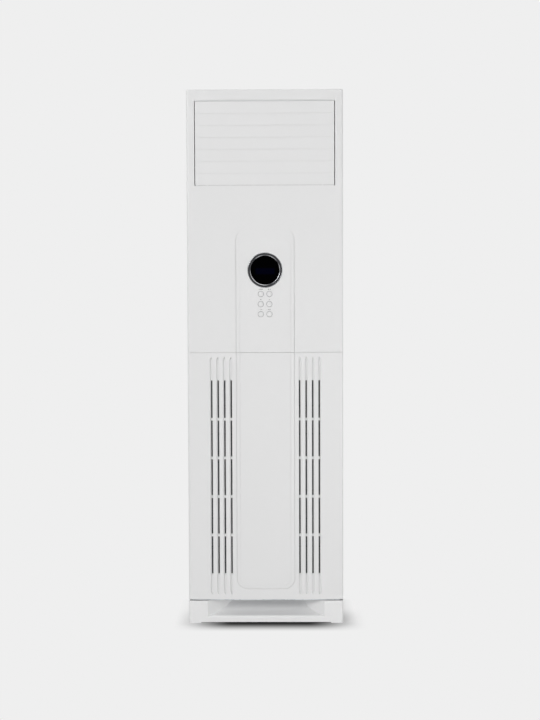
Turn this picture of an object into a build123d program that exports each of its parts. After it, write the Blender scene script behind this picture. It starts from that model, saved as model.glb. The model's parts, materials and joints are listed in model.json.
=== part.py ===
from build123d import *
import os
from math import atan2, cos, degrees, hypot, pi, radians, sin

# Floor standing air conditioner, a tall column cabinet.
# Millimetres. X to the viewer's right, +Y to the back, +Z up. The origin is the
# middle of the bounding box on the floor, and the front looks along -Y.

# ---- Driving dimensions -------------------------------------------------------------
# Whole cabinet
WIDTH = 510.0
DEPTH = 315.0
HEIGHT = 1750.0
SHEET = 1.2              # steel sheet of the casing
SHELL = 3.0              # wall of the moulded panels
SEAM = 0.8               # gap seen between the two front panels
REVEAL = 0.6             # gap between a front panel and the steel behind it
EASE = 0.3               # clearance between pieces that pass each other
CORNER_R = 8.0           # vertical front corners
RING_PROUD = 4.0         # the display ring stands this far in front of the panels
PANEL_RETURN = 28.0      # how far a front panel wraps round the side

# Base
BASE_TOP = 74.0
BASE_WALL = 3.0
PAD_SIZE = 40.0
PAD_HEIGHT = 3.0
TOE_LIP = 24.0           # height of the base's front between the foot blocks
TOE_LIP_R = 8.0          # rounding from the front to the rising floor of the toe recess
TOE_DEPTH = 75.0
TOE_START = 9.0          # degrees that the recess's hollow floor rises at its front
FOOT_FRONT = 61.5        # width of a foot block at the front
FOOT_BACK = 151.5        # width of a foot block where the recess ends
SHADOW_GAP = 5.0         # dark joint between the base and the casing
TRAY_INSET = 10.0
RETURN = 15.0            # folded edges of the casing sheets

# Split of the front, top cover
SPLIT_Z = 895.0
TOP_COVER = 15.0
TOP_WALL = 2.0
REAR_RECESS = 6.0        # the rear panel lies this far inside the side panels

# Raised centre strip
STRIP_HALF = 94.9
STRIP_INNER_HALF = 82.7
STRIP_BOTTOM = 114.0
STRIP_DROP = 2.5         # its top end below the middle of the display and the outlet
STRIP_R = 35.0
STRIP_STEP = 0.8         # small step at the strip's outline
STRIP_RISE = 1.5         # height of the strip's flat face
STRIP_FADE = 40.0        # the strip's top end runs out over this length
LINE_WIDTH = 1.3         # fine groove along the strip's outline
LINE_DEPTH = 1.6
INNER_LINE_WIDTH = 1.0   # finer groove round the strip's flat face
INNER_LINE_DEPTH = 0.9

# Intake slots, four on each side
SLOT_FIRST = 112.3       # centre of the innermost slot from the middle
SLOT_PITCH = 21.4
SLOT_COUNT = 4
SLOT_WIDTH = 5.0         # width of the opening itself
SLOT_INNER_LIP = 0.5     # steep wall of the groove, towards the middle
SLOT_OUTER_LIP = 4.0     # gentle wall of the groove, away from the middle
SLOT_DEPTH = 4.5         # depth of the groove
SLOT_BLOCK = 12.0        # depth of the slotted block
SLOT_RIB = 2.0           # wall on each side of an opening
GROOVE_BOTTOM = 93.3
GROOVE_DROP = 13.4       # groove's upper end below the panel's upper edge
GROOVE_POINT = 9.0       # length of the groove's pointed ends
OPEN_BOTTOM = 164.0
OPEN_DROP = 78.0         # top of the opening below the groove's upper end
BAR_COUNT = 4            # crossbars in each slot
BAR_HEIGHT = 8.5

# Tilt hinge of the intake panel
HINGE_DROP = 7.0         # hinge axis above the panel's lower edge
HINGE_BACK = 5.0         # hinge axis behind the panel's inner face
HINGE_R = 2.5
HINGE_FIT = 0.05
HINGE_EYE_R = 4.5
HINGE_INSET = 19.0       # hinge ears in from the cabinet's sides
HINGE_EAR = 3.0

# Air filters
FILTER_MARGIN = 13.0     # filter's edge beyond the outermost slots' openings
FILTER_FOOT = 4.0        # filter's lower edge below the openings
FILTER_HEAD = 9.0        # its upper edge above the openings
FILTER_THICK = 4.0
FILTER_EDGE = 6.0
FILTER_BARS = 6
FILTER_MESH = 0.8
RAIL_WALL = 1.5
RAIL_LIP = 4.0

# Display and buttons
DISPLAY_DROP = 2.75      # display below the middle of the split and the outlet
RING_R = 57.4
RING_WALL = 10.0
LENS_THICK = 2.0
BUTTON_X = 14.0
BUTTON_DROP = 77.8       # upper row of buttons below the display's middle
BUTTON_PITCH = 32.9
BUTTON_ROWS = 3
BUTTON_HOLE_R = 8.9
BUTTON_GAP = 0.6
BUTTON_PROUD = 0.4
BUTTON_FLANGE = 2.0
BUTTON_FLANGE_THICK = 1.2
BUTTON_TRAVEL = 0.8
HOUSING_HALF = 70.0
HOUSING_MARGIN = 14.0
HOUSING_DEPTH = 26.0
HOUSING_WALL = 2.0
BOARD_THICK = 1.6
MODULE_HALF = 30.8       # half the width of the display module
SWITCH_HEIGHT = 3.7
SWITCH_HALF = 3.0

# Air outlet
OUTLET_MARGIN = 26.0     # front panel's face on each side of the outlet
OUTLET_HEIGHT = 277.5
OUTLET_DROP = 34.0       # outlet's top edge below the cabinet's top
OUTLET_R = 4.0
SILL_THICK = 1.0         # thin sill that closes the gap below the last louver
SILL_GAP = 0.6
DUCT_WALL = 3.0
DUCT_BACK = -70.0        # rear rim of the duct
DUCT_FLANGE = 10.0
DUCT_FLANGE_THICK = 2.0
DUCT_EAR = 12.0
RAIL_DROP = 3.5          # fixed rail along the outlet's top edge

# Horizontal louvers
LOUVER_COUNT = 7
LOUVER_DRIVEN = 4        # the louver that the motor turns
LOUVER_GAP = 0.3
LOUVER_TOP_GAP = 0.6
LOUVER_BOTTOM_GAP = 2.2
LOUVER_END_GAP = 2.5
LOUVER_SET_BACK = 0.3    # closed louvers lie this far behind the panel's face
LOUVER_AXIS = 8.0        # axis behind the louver's face
LOUVER_EDGE = 2.0
LOUVER_THICK = 6.0
LOUVER_PIN_R = 2.5
LOUVER_FIT = 0.1
CRANK_RADIUS = 14.0
CRANK_THICK = 4.0
CRANK_EYE = 3.5
CRANK_PIN_R = 1.5
LINK_THICK = 2.0
LINK_HALF = 4.0

# Vertical vanes
VANE_COUNT = 6
VANE_DRIVEN = 3
VANE_MARGIN = 1.0
VANE_CHORD = 45.0
VANE_THICK = 2.0
VANE_Y = -103.0
VANE_END_GAP = 3.0
VANE_PIN_R = 2.0
VANE_CRANK = 18.0        # link pin behind the vane's axis
VANE_NOTCH = 10.0
VANE_LINK_THICK = 3.0

# Step motors of the louvers and the vanes
STEPPER_R = 11.0
STEPPER_LENGTH = 10.5
STEPPER_OFFSET = 9.0     # shaft beside the motor's middle

# Fan
FAN_Z = 360.0
FAN_R = 160.0
FAN_INNER_R = 130.0
FAN_WIDTH = 110.0
FAN_FRONT = -83.0
FAN_BLADES = 36
FAN_PLATE = 3.0
HUB_R = 20.0
HUB_LENGTH = 30.0
SHAFT_R = 6.0
SHAFT_FIT = 0.05
BLADE_LEAN = 18.0        # degrees from a blade's root to its tip
INLET_R = 118.0
BULKHEAD_Y = -90.0       # rear face of the bulkhead
BULKHEAD_DROP = 30.0     # bulkhead's top below the split of the front
SCROLL_BACK = 30.0
SCROLL_WALL = 2.0
SCROLL_TONGUE_R = 172.0
SCROLL_END_R = 225.0
SCROLL_TONGUE_ANGLE = 120.0
DECK_Z = 640.0
THROAT_LEFT = -100.0
MOTOR_R = 65.0
MOTOR_LENGTH = 73.0
MOTOR_NECK_R = 48.8
MOTOR_CAP = 9.0
SHAFT_NUT_R = 10.2
SHAFT_NUT = 4.8
MOUNT_PLATE = 3.0

# Evaporator
COIL_FOOT_Y = -70.0
COIL_RISE = 50.0         # coil's foot above the bulkhead
COIL_HEAD_Y = 100.0
COIL_DROP = 60.0         # coil's head below the outlet
COIL_SIDE = 53.8         # room for the bends and pipes beside the coil
COIL_THICK = 60.0
COIL_TUBE_R = 4.8
COIL_TUBE_GAP = 0.15
COIL_RUNS = 16
COIL_ROW_PITCH = 30.0
COIL_END = 6.0           # straight part of a tube outside its tube sheet
TUBE_SHEET = 2.0

# Drain pan and hose
PAN_FRONT = -115.0
PAN_BACK = -20.0
PAN_WALL = 2.5
PAN_HEIGHT = 40.0
HOSE_R = 10.0
HOSE_WALL = 2.0
SPOUT_LENGTH = 15.0
HOSE_SIDE = 43.0         # hose's middle in from the cabinet's left side
HOSE_START_Y = -50.0
HOSE_Y = 125.0
HOSE_BEND = 40.0
HOSE_END_Z = 230.0
GAS_R = 8.0
GAS_SIDE = 25.0
GAS_Y = 60.0
LIQUID_R = 4.8
LIQUID_SIDE = 19.0
LIQUID_Y = 100.0
LIQUID_RISE = 15.0       # the liquid pipe passes over the gas pipe
PIPE_BEND = 30.0
PIPE_END_Z = 300.0
NUT_LENGTH = 22.0

# Pipe entry at the rear
ENTRY_X = -150.0
ENTRY_Z = 200.0
ENTRY_BORE_R = 32.0
ENTRY_LENGTH = 10.0

# Control box
CONTROL_SIDE = 55.0      # room for the cables on each side of the box
CONTROL_DROP = 5.0       # box's top below the bulkhead's
CONTROL_HEIGHT = 205.0
CONTROL_DEPTH = 40.0
VENT_COUNT = 12
VENT_PITCH = 24.0
VENT_LENGTH = 36.0
VENT_WIDTH = 3.0
VENT_DROP = 30.0
MAIN_WIDTH = 250.0       # main board
MAIN_MARGIN = 20.0
STANDOFF = 6.0
TERMINAL_WAYS = 7
TERMINAL_HEIGHT = 30.0
TERMINAL_RISE = 24.0     # terminals above the box's lower edge

# Components on the main board, as width, height and depth
EDGE = 12.0              # margin between the board's edge and the components
CAPACITOR_R = 10.0
CAPACITOR_DEPTH = 25.0
CAPACITOR_PITCH = 26.0
CAPACITOR_COUNT = 3
RELAY = (18.0, 18.0, 16.0)
RELAY_PITCH = 24.0
RELAY_COUNT = 5
CORE = (50.0, 38.0, 26.0)
WINDING = (30.0, 50.0, 30.0)
SINK = (50.0, 60.0, 26.0)
SINK_BASE = 6.0
SINK_FIN = 2.4
SINK_FINS = 8
PLUG = (28.0, 10.0, 10.0)
PLUG_PITCH = 36.0
PLUG_COUNT = 6
CHIP = (28.0, 28.0, 3.0)
CHIP_SMALL = (18.0, 12.0, 3.0)

# Wall tie at the rear
TIE_DROP = 100.0         # tie below the cabinet's top
TIE_HEIGHT = 60.0
TIE_SPACING = 160.0
TIE_HOLE_R = 3.5
TIE_PLATE = 3.0
TIE_HALF = 110.0
TIE_FOOT = 20.0

SCREW_R = 2.0
SCREW_HEAD_R = 4.0
SCREW_HEAD = 2.2
LINER_THICK = 15.0
LINER_TURN = 60.0        # the lining's slanted corner

# ---- Places worked out from the dimensions -----------------------------------------
HALF_W = WIDTH / 2
RING_Y = -DEPTH / 2
FACE_Y = RING_Y + RING_PROUD
REAR_Y = DEPTH / 2
SKIN_Y = FACE_Y + SHELL                 # inner face of the front panels
PANEL_BACK_Y = FACE_Y + PANEL_RETURN    # rear edge of their returns
CASE_FRONT_Y = PANEL_BACK_Y + REVEAL    # front edge of the steel casing
CASE_BOTTOM = BASE_TOP + SHADOW_GAP
CASE_TOP = HEIGHT - TOP_COVER
CASE_INNER = HALF_W - SHEET
REAR_SHEET_Y = REAR_Y - REAR_RECESS     # outer face of the rear panel
REAR_INNER_Y = REAR_SHEET_Y - SHEET
FLOOR_Z = CASE_BOTTOM + SHEET           # top of the side panels' lower returns
INTAKE_TOP = SPLIT_Z - SEAM / 2
UPPER_BOTTOM = SPLIT_Z + SEAM / 2
OUTLET_HALF = HALF_W - OUTLET_MARGIN
OUTLET_TOP = HEIGHT - OUTLET_DROP
OUTLET_BOTTOM = OUTLET_TOP - OUTLET_HEIGHT
DISPLAY_Z = (SPLIT_Z + OUTLET_BOTTOM) / 2 - DISPLAY_DROP
STRIP_TOP = (DISPLAY_Z + OUTLET_BOTTOM) / 2 - STRIP_DROP
STRIP_Y = FACE_Y - STRIP_RISE
TOE_HALF_FRONT = HALF_W - FOOT_FRONT
TOE_HALF_BACK = HALF_W - FOOT_BACK
TOE_BACK = FACE_Y + TOE_DEPTH
TOE_RISE = BASE_TOP - TOE_LIP
TOE_BEND = atan2(TOE_RISE, TOE_DEPTH) - radians(TOE_START)
TOE_R = hypot(TOE_RISE, TOE_DEPTH) / (2 * sin(TOE_BEND))
TOE_R_Y = FACE_Y - TOE_R * sin(radians(TOE_START))
TOE_R_Z = TOE_LIP + TOE_R * cos(radians(TOE_START))
TOE_TAPER = (TOE_HALF_FRONT - TOE_HALF_BACK) / TOE_DEPTH
BULKHEAD_TOP = SPLIT_Z - BULKHEAD_DROP
TIE_Z = HEIGHT - TIE_DROP
TRAY_HALF = HALF_W - TRAY_INSET
TRAY_FRONT = FACE_Y + TRAY_INSET
TRAY_BACK = REAR_Y - TRAY_INSET

# ---- Small shapes ------------------------------------------------------------------
def block(x0, x1, y0, y1, z0, z1):
    """A block between two corners."""
    middle = Pos((x0 + x1) / 2, (y0 + y1) / 2, (z0 + z1) / 2)
    return middle * Box(abs(x1 - x0), abs(y1 - y0), abs(z1 - z0))


def rod_x(x0, x1, y, z, radius):
    """A round bar along X."""
    return Pos((x0 + x1) / 2, y, z) * Rot(0, 90, 0) * Cylinder(radius, abs(x1 - x0))


def rod_y(x, y0, y1, z, radius):
    """A round bar along Y."""
    return Pos(x, (y0 + y1) / 2, z) * Rot(90, 0, 0) * Cylinder(radius, abs(y1 - y0))


def rod_z(x, y, z0, z1, radius):
    """A round bar along Z."""
    return Pos(x, y, (z0 + z1) / 2) * Cylinder(radius, abs(z1 - z0))


def outline_y(sketch, front, back):
    """An outline in X and Z made solid between two depths."""
    return extrude(Plane.XZ.offset(-back) * sketch, back - front)


def outline_x(sketch, left, right):
    """An outline in Y and Z made solid between two places across."""
    return extrude(Plane.YZ.offset(left) * sketch, right - left)


def outline_z(sketch, bottom, top):
    """An outline in X and Y made solid between two heights."""
    return extrude(Plane.XY.offset(bottom) * sketch, top - bottom)


def other_side(shape):
    """The mirror image on the other side of the cabinet."""
    return mirror(shape, about=Plane.YZ)


def save(name, *solids):
    """Write one named piece, or a group of equal ones, to its own file."""
    pieces = []
    for shape in solids:
        pieces.extend(shape.solids())
    export_step(Compound(pieces) if len(pieces) > 1 else pieces[0], f"parts/{name}.step")


# ---- Casing ------------------------------------------------------------------------
def toe_plan(wall):
    """Plan of the toe recess, open to the front and narrower at its back, with a wall round it."""
    half_front = TOE_HALF_FRONT + wall * hypot(1, TOE_TAPER)
    half_back = TOE_HALF_BACK + wall * hypot(1, TOE_TAPER)
    corners = [(-half_front, FACE_Y - BASE_WALL), (half_front, FACE_Y - BASE_WALL), (half_front, FACE_Y),
               (half_back, TOE_BACK), (half_back, TOE_BACK + wall), (-half_back, TOE_BACK + wall),
               (-half_back, TOE_BACK), (-half_front, FACE_Y)]
    if not wall:
        del corners[4:6]
    return make_face(Polyline(*corners, close=True))


def under_toe_floor(wall):
    """Everything below the recess's hollow floor, or below a wall under it."""
    front, back = FACE_Y - wall, TOE_BACK + wall
    section = make_face(Polyline((front, 0), (front, BASE_TOP), (back, BASE_TOP), (back, 0), close=True))
    section -= Pos(TOE_R_Y, TOE_R_Z) * Circle(TOE_R + wall)
    if not wall:
        lip = section.vertices().sort_by(lambda corner: hypot(corner.X - front, corner.Y - TOE_LIP))[0]
        section = fillet(lip, TOE_LIP_R)
    return outline_x(section, -HALF_W, HALF_W)


def base_plan(inset):
    """Plan of the base with rounded corners, set in by a wall."""
    depth = REAR_Y - FACE_Y
    rounded = RectangleRounded(WIDTH - 2 * inset, depth - 2 * inset, CORNER_R - inset)
    return Pos(0, (REAR_Y + FACE_Y) / 2) * rounded


def base_plinth():
    """Moulded foot on four pads: two foot blocks and between them a toe recess.

    The recess's floor rises in a hollow curve to the top, and its side walls draw together.
    """
    shell = outline_z(base_plan(0), PAD_HEIGHT, BASE_TOP)
    hollow = outline_z(base_plan(BASE_WALL), 0, BASE_TOP - BASE_WALL)
    walled_toe = outline_z(toe_plan(BASE_WALL), 0, BASE_TOP) - under_toe_floor(BASE_WALL)
    shell -= hollow - walled_toe
    shell -= outline_z(toe_plan(0), PAD_HEIGHT, BASE_TOP) - under_toe_floor(0)
    foot = outline_z(base_plan(0), 0, PAD_HEIGHT + BASE_WALL)
    pads = []
    for x in (-HALF_W, HALF_W - PAD_SIZE):
        for y in (FACE_Y, REAR_Y - PAD_SIZE):
            pads.append(foot & block(x, x + PAD_SIZE, y, y + PAD_SIZE, 0, PAD_HEIGHT + BASE_WALL))
    for pad in pads:
        shell += pad
    return shell


HINGE_X = HALF_W - HINGE_INSET
HINGE_Y = SKIN_Y + HINGE_BACK
HINGE_Z = CASE_BOTTOM + HINGE_DROP
RIM_HALF = HALF_W - SHELL - REVEAL


def bottom_plate():
    """Steel tray on the base: a rim that carries the casing and two hinge ears."""
    tray = block(-TRAY_HALF, TRAY_HALF, TRAY_FRONT, TRAY_BACK, BASE_TOP, CASE_BOTTOM)
    tray += block(-RIM_HALF, RIM_HALF, CASE_FRONT_Y, TRAY_BACK, CASE_BOTTOM - SHEET, CASE_BOTTOM)
    tray -= block(-TRAY_HALF + SHEET, TRAY_HALF - SHEET, TRAY_FRONT + SHEET, TRAY_BACK - SHEET,
                  BASE_TOP + SHEET, CASE_BOTTOM)
    left, right = HINGE_X - HINGE_EAR / 2, HINGE_X + HINGE_EAR / 2
    ear = rod_x(left, right, HINGE_Y, HINGE_Z, HINGE_EYE_R)
    ear += block(left, right, HINGE_Y + SHEET, TRAY_FRONT + HINGE_EYE_R, BASE_TOP + SHEET,
                 HINGE_Z + HINGE_EYE_R)
    ear -= rod_x(left, right, HINGE_Y, HINGE_Z, HINGE_R + HINGE_FIT)
    return tray + ear + other_side(ear)


def side_panel():
    """Right-hand casing sheet with its folded front, top and bottom edges."""
    fold = HALF_W - RETURN
    sheet = block(CASE_INNER, HALF_W, CASE_FRONT_Y, REAR_Y, CASE_BOTTOM, CASE_TOP)
    sheet += block(fold, CASE_INNER, CASE_FRONT_Y, CASE_FRONT_Y + SHEET, CASE_BOTTOM, CASE_TOP)
    sheet += block(fold, CASE_INNER, CASE_FRONT_Y, REAR_Y, CASE_BOTTOM, FLOOR_Z)
    sheet += block(fold, CASE_INNER, CASE_FRONT_Y, REAR_Y, CASE_TOP - SHEET, CASE_TOP)
    return sheet


def tie_foot_x():
    """Middle of the wall tie's two feet from the middle of the cabinet."""
    return TIE_HALF + TIE_FOOT / 2


def rear_screw_places():
    """Where the rear panel's screws sit, as x and z."""
    edge = CASE_INNER - SHEET - 2 * SCREW_HEAD_R
    rows = [FLOOR_Z + RETURN + i * (CASE_TOP - FLOOR_Z - 2 * RETURN) / 3 for i in range(4)]
    return [(side * edge, z) for side in (-1, 1) for z in rows]


def tie_screw_places():
    """Where the wall tie is screwed to the rear panel, as x and z."""
    return [(side * tie_foot_x(), TIE_Z) for side in (-1, 1)]


ENTRY_NECK_R = ENTRY_BORE_R + SHELL
ENTRY_LIP_R = ENTRY_NECK_R + 2 * SHELL


def rear_panel():
    """Rear casing sheet, set into the side panels, with the pipe entry."""
    top = CASE_TOP - SHEET
    sheet = block(-CASE_INNER, CASE_INNER, REAR_INNER_Y, REAR_SHEET_Y, FLOOR_Z, top)
    edge = block(CASE_INNER - SHEET, CASE_INNER, REAR_SHEET_Y, REAR_Y, FLOOR_Z, top)
    sheet += edge
    sheet += other_side(edge)
    sheet -= rod_y(ENTRY_X, REAR_INNER_Y, REAR_SHEET_Y, ENTRY_Z, ENTRY_NECK_R + EASE)
    for x, z in rear_screw_places() + tie_screw_places():
        sheet -= rod_y(x, REAR_INNER_Y, REAR_SHEET_Y, z, SCREW_R + EASE)
    return sheet


def top_cover():
    """Moulded lid behind the front panel, standing on the side panels."""
    lid = block(-HALF_W, HALF_W, CASE_FRONT_Y, REAR_Y, CASE_TOP, HEIGHT)
    rounded = [e for e in lid.faces().sort_by(Axis.Z)[-1].edges() if e.center().Y > CASE_FRONT_Y + SHEET]
    lid = fillet(rounded, 1.5 * TOP_WALL)
    return lid - block(-HALF_W + TOP_WALL, HALF_W - TOP_WALL, CASE_FRONT_Y + TOP_WALL,
                       REAR_Y - TOP_WALL, CASE_TOP, HEIGHT - TOP_WALL)


def wall_tie():
    """Steel plate standing off the rear panel, with two holes for wall screws."""
    low, high = TIE_Z - TIE_HEIGHT / 2, TIE_Z + TIE_HEIGHT / 2
    end = TIE_HALF + TIE_FOOT
    tie = block(-TIE_HALF, TIE_HALF, REAR_Y - TIE_PLATE, REAR_Y, low, high)
    leg = block(TIE_HALF - TIE_PLATE, TIE_HALF, REAR_SHEET_Y, REAR_Y, low, high)
    leg += block(TIE_HALF - TIE_PLATE, end, REAR_SHEET_Y, REAR_SHEET_Y + SHEET, low, high)
    leg -= rod_y(tie_foot_x(), REAR_SHEET_Y, REAR_SHEET_Y + SHEET, TIE_Z, SCREW_R + EASE)
    tie += leg
    tie += other_side(leg)
    for side in (-1, 1):
        tie -= rod_y(side * TIE_SPACING / 2, REAR_Y - TIE_PLATE, REAR_Y, TIE_Z, TIE_HOLE_R)
    return tie


def screw(x, y, z):
    """A pan-head screw from behind, its head's flat side at a depth."""
    head = rod_y(x, y, y + SCREW_HEAD, z, SCREW_HEAD_R)
    head = fillet(head.edges().filter_by(GeomType.CIRCLE).sort_by(Axis.Y)[-1], SCREW_HEAD / 3)
    cross = block(x - SCREW_R, x + SCREW_R, y + SCREW_HEAD / 2, y + SCREW_HEAD,
                  z - SCREW_R / 4, z + SCREW_R / 4)
    cross += block(x - SCREW_R / 4, x + SCREW_R / 4, y + SCREW_HEAD / 2, y + SCREW_HEAD,
                   z - SCREW_R, z + SCREW_R)
    return head - cross + rod_y(x, y - 2 * SCREW_R, y, z, SCREW_R)


def case_screws():
    """Screws of the rear panel and of the wall tie."""
    screws = [screw(x, REAR_SHEET_Y, z) for x, z in rear_screw_places()]
    return screws + [screw(x, REAR_SHEET_Y + SHEET, z) for x, z in tie_screw_places()]


def pipe_grommet():
    """Rubber ring in the rear panel that the pipes from the wall come through."""
    front = REAR_Y - ENTRY_LENGTH
    ring = rod_y(ENTRY_X, front, REAR_Y, ENTRY_Z, ENTRY_LIP_R)
    groove = rod_y(ENTRY_X, REAR_INNER_Y, REAR_SHEET_Y, ENTRY_Z, ENTRY_LIP_R)
    ring -= groove - rod_y(ENTRY_X, REAR_INNER_Y, REAR_SHEET_Y, ENTRY_Z, ENTRY_NECK_R)
    return ring - rod_y(ENTRY_X, front, REAR_Y, ENTRY_Z, ENTRY_BORE_R)


# ---- Front panels ------------------------------------------------------------------
def front_shell(bottom, top, inner_top):
    """A moulded panel wrapped round the cabinet's two front corners."""
    depth = 2 * PANEL_RETURN
    outer = RectangleRounded(WIDTH, depth, CORNER_R)
    inner = RectangleRounded(WIDTH - 2 * SHELL, depth - 2 * SHELL, CORNER_R - SHELL)
    shell = outline_z(Pos(0, PANEL_BACK_Y) * outer, bottom, top)
    shell &= block(-HALF_W, HALF_W, FACE_Y, PANEL_BACK_Y, bottom, top)
    return shell - outline_z(Pos(0, PANEL_BACK_Y) * inner, bottom, inner_top)


def strip_outline(half, bottom, top, radius, y):
    """Outline of the centre strip at one depth."""
    rounded = RectangleRounded(2 * half, top - bottom, radius)
    return Plane.XZ.offset(-y) * Pos(0, (bottom + top) / 2) * rounded


def centre_strip(bottom, top):
    """Raised strip down the middle, between two heights. Its top end fades out."""
    slope = STRIP_HALF - STRIP_INNER_HALF
    draft = STRIP_STEP / 2
    foot = strip_outline(STRIP_HALF, STRIP_BOTTOM, STRIP_TOP, STRIP_R, FACE_Y)
    step = strip_outline(STRIP_HALF - draft, STRIP_BOTTOM + draft, STRIP_TOP - STRIP_FADE / 2,
                         STRIP_R - draft, FACE_Y - STRIP_STEP)
    face = strip_outline(STRIP_INNER_HALF, STRIP_BOTTOM + slope, STRIP_TOP - STRIP_FADE,
                         STRIP_R - slope, STRIP_Y)
    strip = loft([foot, step], ruled=True) + loft([step, face], ruled=True)
    return strip & block(-STRIP_HALF, STRIP_HALF, STRIP_Y, FACE_Y, bottom, top)


def strip_line(half, width, inset, surface_y, depth):
    """Fine groove round the strip's sides and foot. It runs out in the strip's upper corners."""
    def ring(spread):
        outline = strip_outline(half + spread, STRIP_BOTTOM + inset - spread,
                                STRIP_TOP - inset + spread, STRIP_R - inset + spread,
                                surface_y + depth)
        return extrude(outline, depth)

    high = STRIP_TOP - inset
    runout = Polyline((surface_y, STRIP_BOTTOM - width), (surface_y + depth, STRIP_BOTTOM - width),
                      (surface_y + depth, high - STRIP_R / 2), (surface_y, high - STRIP_R / 10), close=True)
    line = ring(width / 2) - ring(-width / 2)
    return line & outline_x(make_face(runout), -half - width, half + width)


def strip_lines():
    """Both grooves of the strip: round its foot and round its flat face."""
    outer = strip_line(STRIP_HALF + LINE_WIDTH / 2, LINE_WIDTH, -LINE_WIDTH / 2, FACE_Y, LINE_DEPTH)
    inner = strip_line(STRIP_INNER_HALF, INNER_LINE_WIDTH, STRIP_HALF - STRIP_INNER_HALF, STRIP_Y,
                       INNER_LINE_DEPTH)
    return [outer, inner]


LOWEST_BUTTON = DISPLAY_Z - BUTTON_DROP - (BUTTON_ROWS - 1) * BUTTON_PITCH


def button_places():
    """Middle of each button, as x and z, from the lower left."""
    return [(side * BUTTON_X, LOWEST_BUTTON + row * BUTTON_PITCH)
            for row in range(BUTTON_ROWS) for side in (-1, 1)]


def outlet_mouth(inset):
    """Outline of the outlet's opening, set in by a clearance."""
    rounded = RectangleRounded(2 * (OUTLET_HALF - inset), OUTLET_TOP - OUTLET_BOTTOM - 2 * inset,
                               OUTLET_R - inset)
    return Pos(0, (OUTLET_TOP + OUTLET_BOTTOM) / 2) * rounded


def upper_front_panel():
    """Upper panel: air outlet, round display and six buttons."""
    panel = front_shell(UPPER_BOTTOM, HEIGHT, HEIGHT - SHELL)
    top = panel.faces().sort_by(Axis.Z)[-1]
    panel = fillet([e for e in top.edges() if e.center().Y < PANEL_BACK_Y - EASE], SHELL)
    panel += centre_strip(UPPER_BOTTOM, STRIP_TOP)
    for line in strip_lines():
        panel -= line
    panel -= outline_y(outlet_mouth(0), FACE_Y, SKIN_Y)
    sill = OUTLET_HALF - OUTLET_R
    panel += block(-sill, sill, FACE_Y, FACE_Y + SILL_THICK, OUTLET_BOTTOM,
                   OUTLET_BOTTOM + LOUVER_BOTTOM_GAP - SILL_GAP)
    panel -= rod_y(0, STRIP_Y, SKIN_Y, DISPLAY_Z, SPIGOT_R + EASE)
    for x, z in button_places():
        panel -= rod_y(x, STRIP_Y, SKIN_Y, z, BUTTON_HOLE_R)
    half = HALF_W - CORNER_R - SHELL
    ledge = block(-half, half, SKIN_Y + EASE, SKIN_Y + EASE + TOP_WALL, UPPER_BOTTOM - 2 * SHELL,
                  UPPER_BOTTOM + 4 * SHELL)
    ledge += block(-half, half, SKIN_Y, SKIN_Y + EASE, UPPER_BOTTOM, UPPER_BOTTOM + 4 * SHELL)
    return panel + ledge


GROOVE_TOP = INTAKE_TOP - GROOVE_DROP
OPEN_TOP = GROOVE_TOP - OPEN_DROP
SLOT_BACK = FACE_Y + SLOT_BLOCK
SLOT_LAST = SLOT_FIRST + (SLOT_COUNT - 1) * SLOT_PITCH
SLOT_HALF = SLOT_WIDTH / 2 + SLOT_RIB       # half of a slot's walled channel
CELL_PITCH = (OPEN_TOP - OPEN_BOTTOM) / (BAR_COUNT + 1)


def groove(x):
    """One vertical groove with a steep inner wall, a gentle outer wall and pointed ends."""
    rings = []
    for depth in (0, SLOT_DEPTH):
        share = 1 - depth / SLOT_DEPTH
        left = x - SLOT_WIDTH / 2 - share * SLOT_INNER_LIP
        right = x + SLOT_WIDTH / 2 + share * SLOT_OUTER_LIP
        low = GROOVE_BOTTOM + (1 - share) * SLOT_OUTER_LIP
        high = GROOVE_TOP - (1 - share) * SLOT_OUTER_LIP
        outline = Polyline((left, low + GROOVE_POINT), (x, low), (right, low + GROOVE_POINT),
                           (right, high - GROOVE_POINT), (x, high), (left, high - GROOVE_POINT),
                           close=True)
        rings.append(Plane.XZ.offset(-(FACE_Y + depth)) * make_face(outline))
    return loft(rings, ruled=True)


def slot_cuts():
    """Everything cut away for the slots on the right-hand side."""
    cuts = []
    for i in range(SLOT_COUNT):
        x = SLOT_FIRST + i * SLOT_PITCH
        cuts.append(groove(x))
        for cell in range(BAR_COUNT + 1):
            low = OPEN_BOTTOM + cell * CELL_PITCH + (BAR_HEIGHT / 2 if cell else 0)
            high = OPEN_BOTTOM + (cell + 1) * CELL_PITCH - (BAR_HEIGHT / 2 if cell < BAR_COUNT else 0)
            cuts.append(block(x - SLOT_WIDTH / 2, x + SLOT_WIDTH / 2, FACE_Y + SLOT_DEPTH / 2,
                              SLOT_BACK, low, high))
        if i < SLOT_COUNT - 1:
            cuts.append(block(x + SLOT_HALF, x + SLOT_PITCH - SLOT_HALF, SKIN_Y, SLOT_BACK,
                              GROOVE_BOTTOM, GROOVE_TOP))
    return cuts


FILTER_FRONT = SLOT_BACK + EASE
FILTER_BACK = FILTER_FRONT + FILTER_THICK
FILTER_X = (SLOT_FIRST + SLOT_LAST) / 2
FILTER_HALF = (SLOT_LAST - SLOT_FIRST + SLOT_WIDTH) / 2 + FILTER_MARGIN
FILTER_BOTTOM = OPEN_BOTTOM - FILTER_FOOT
FILTER_TOP = OPEN_TOP + FILTER_HEAD
FILTER_HEIGHT = FILTER_TOP - FILTER_BOTTOM


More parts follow.
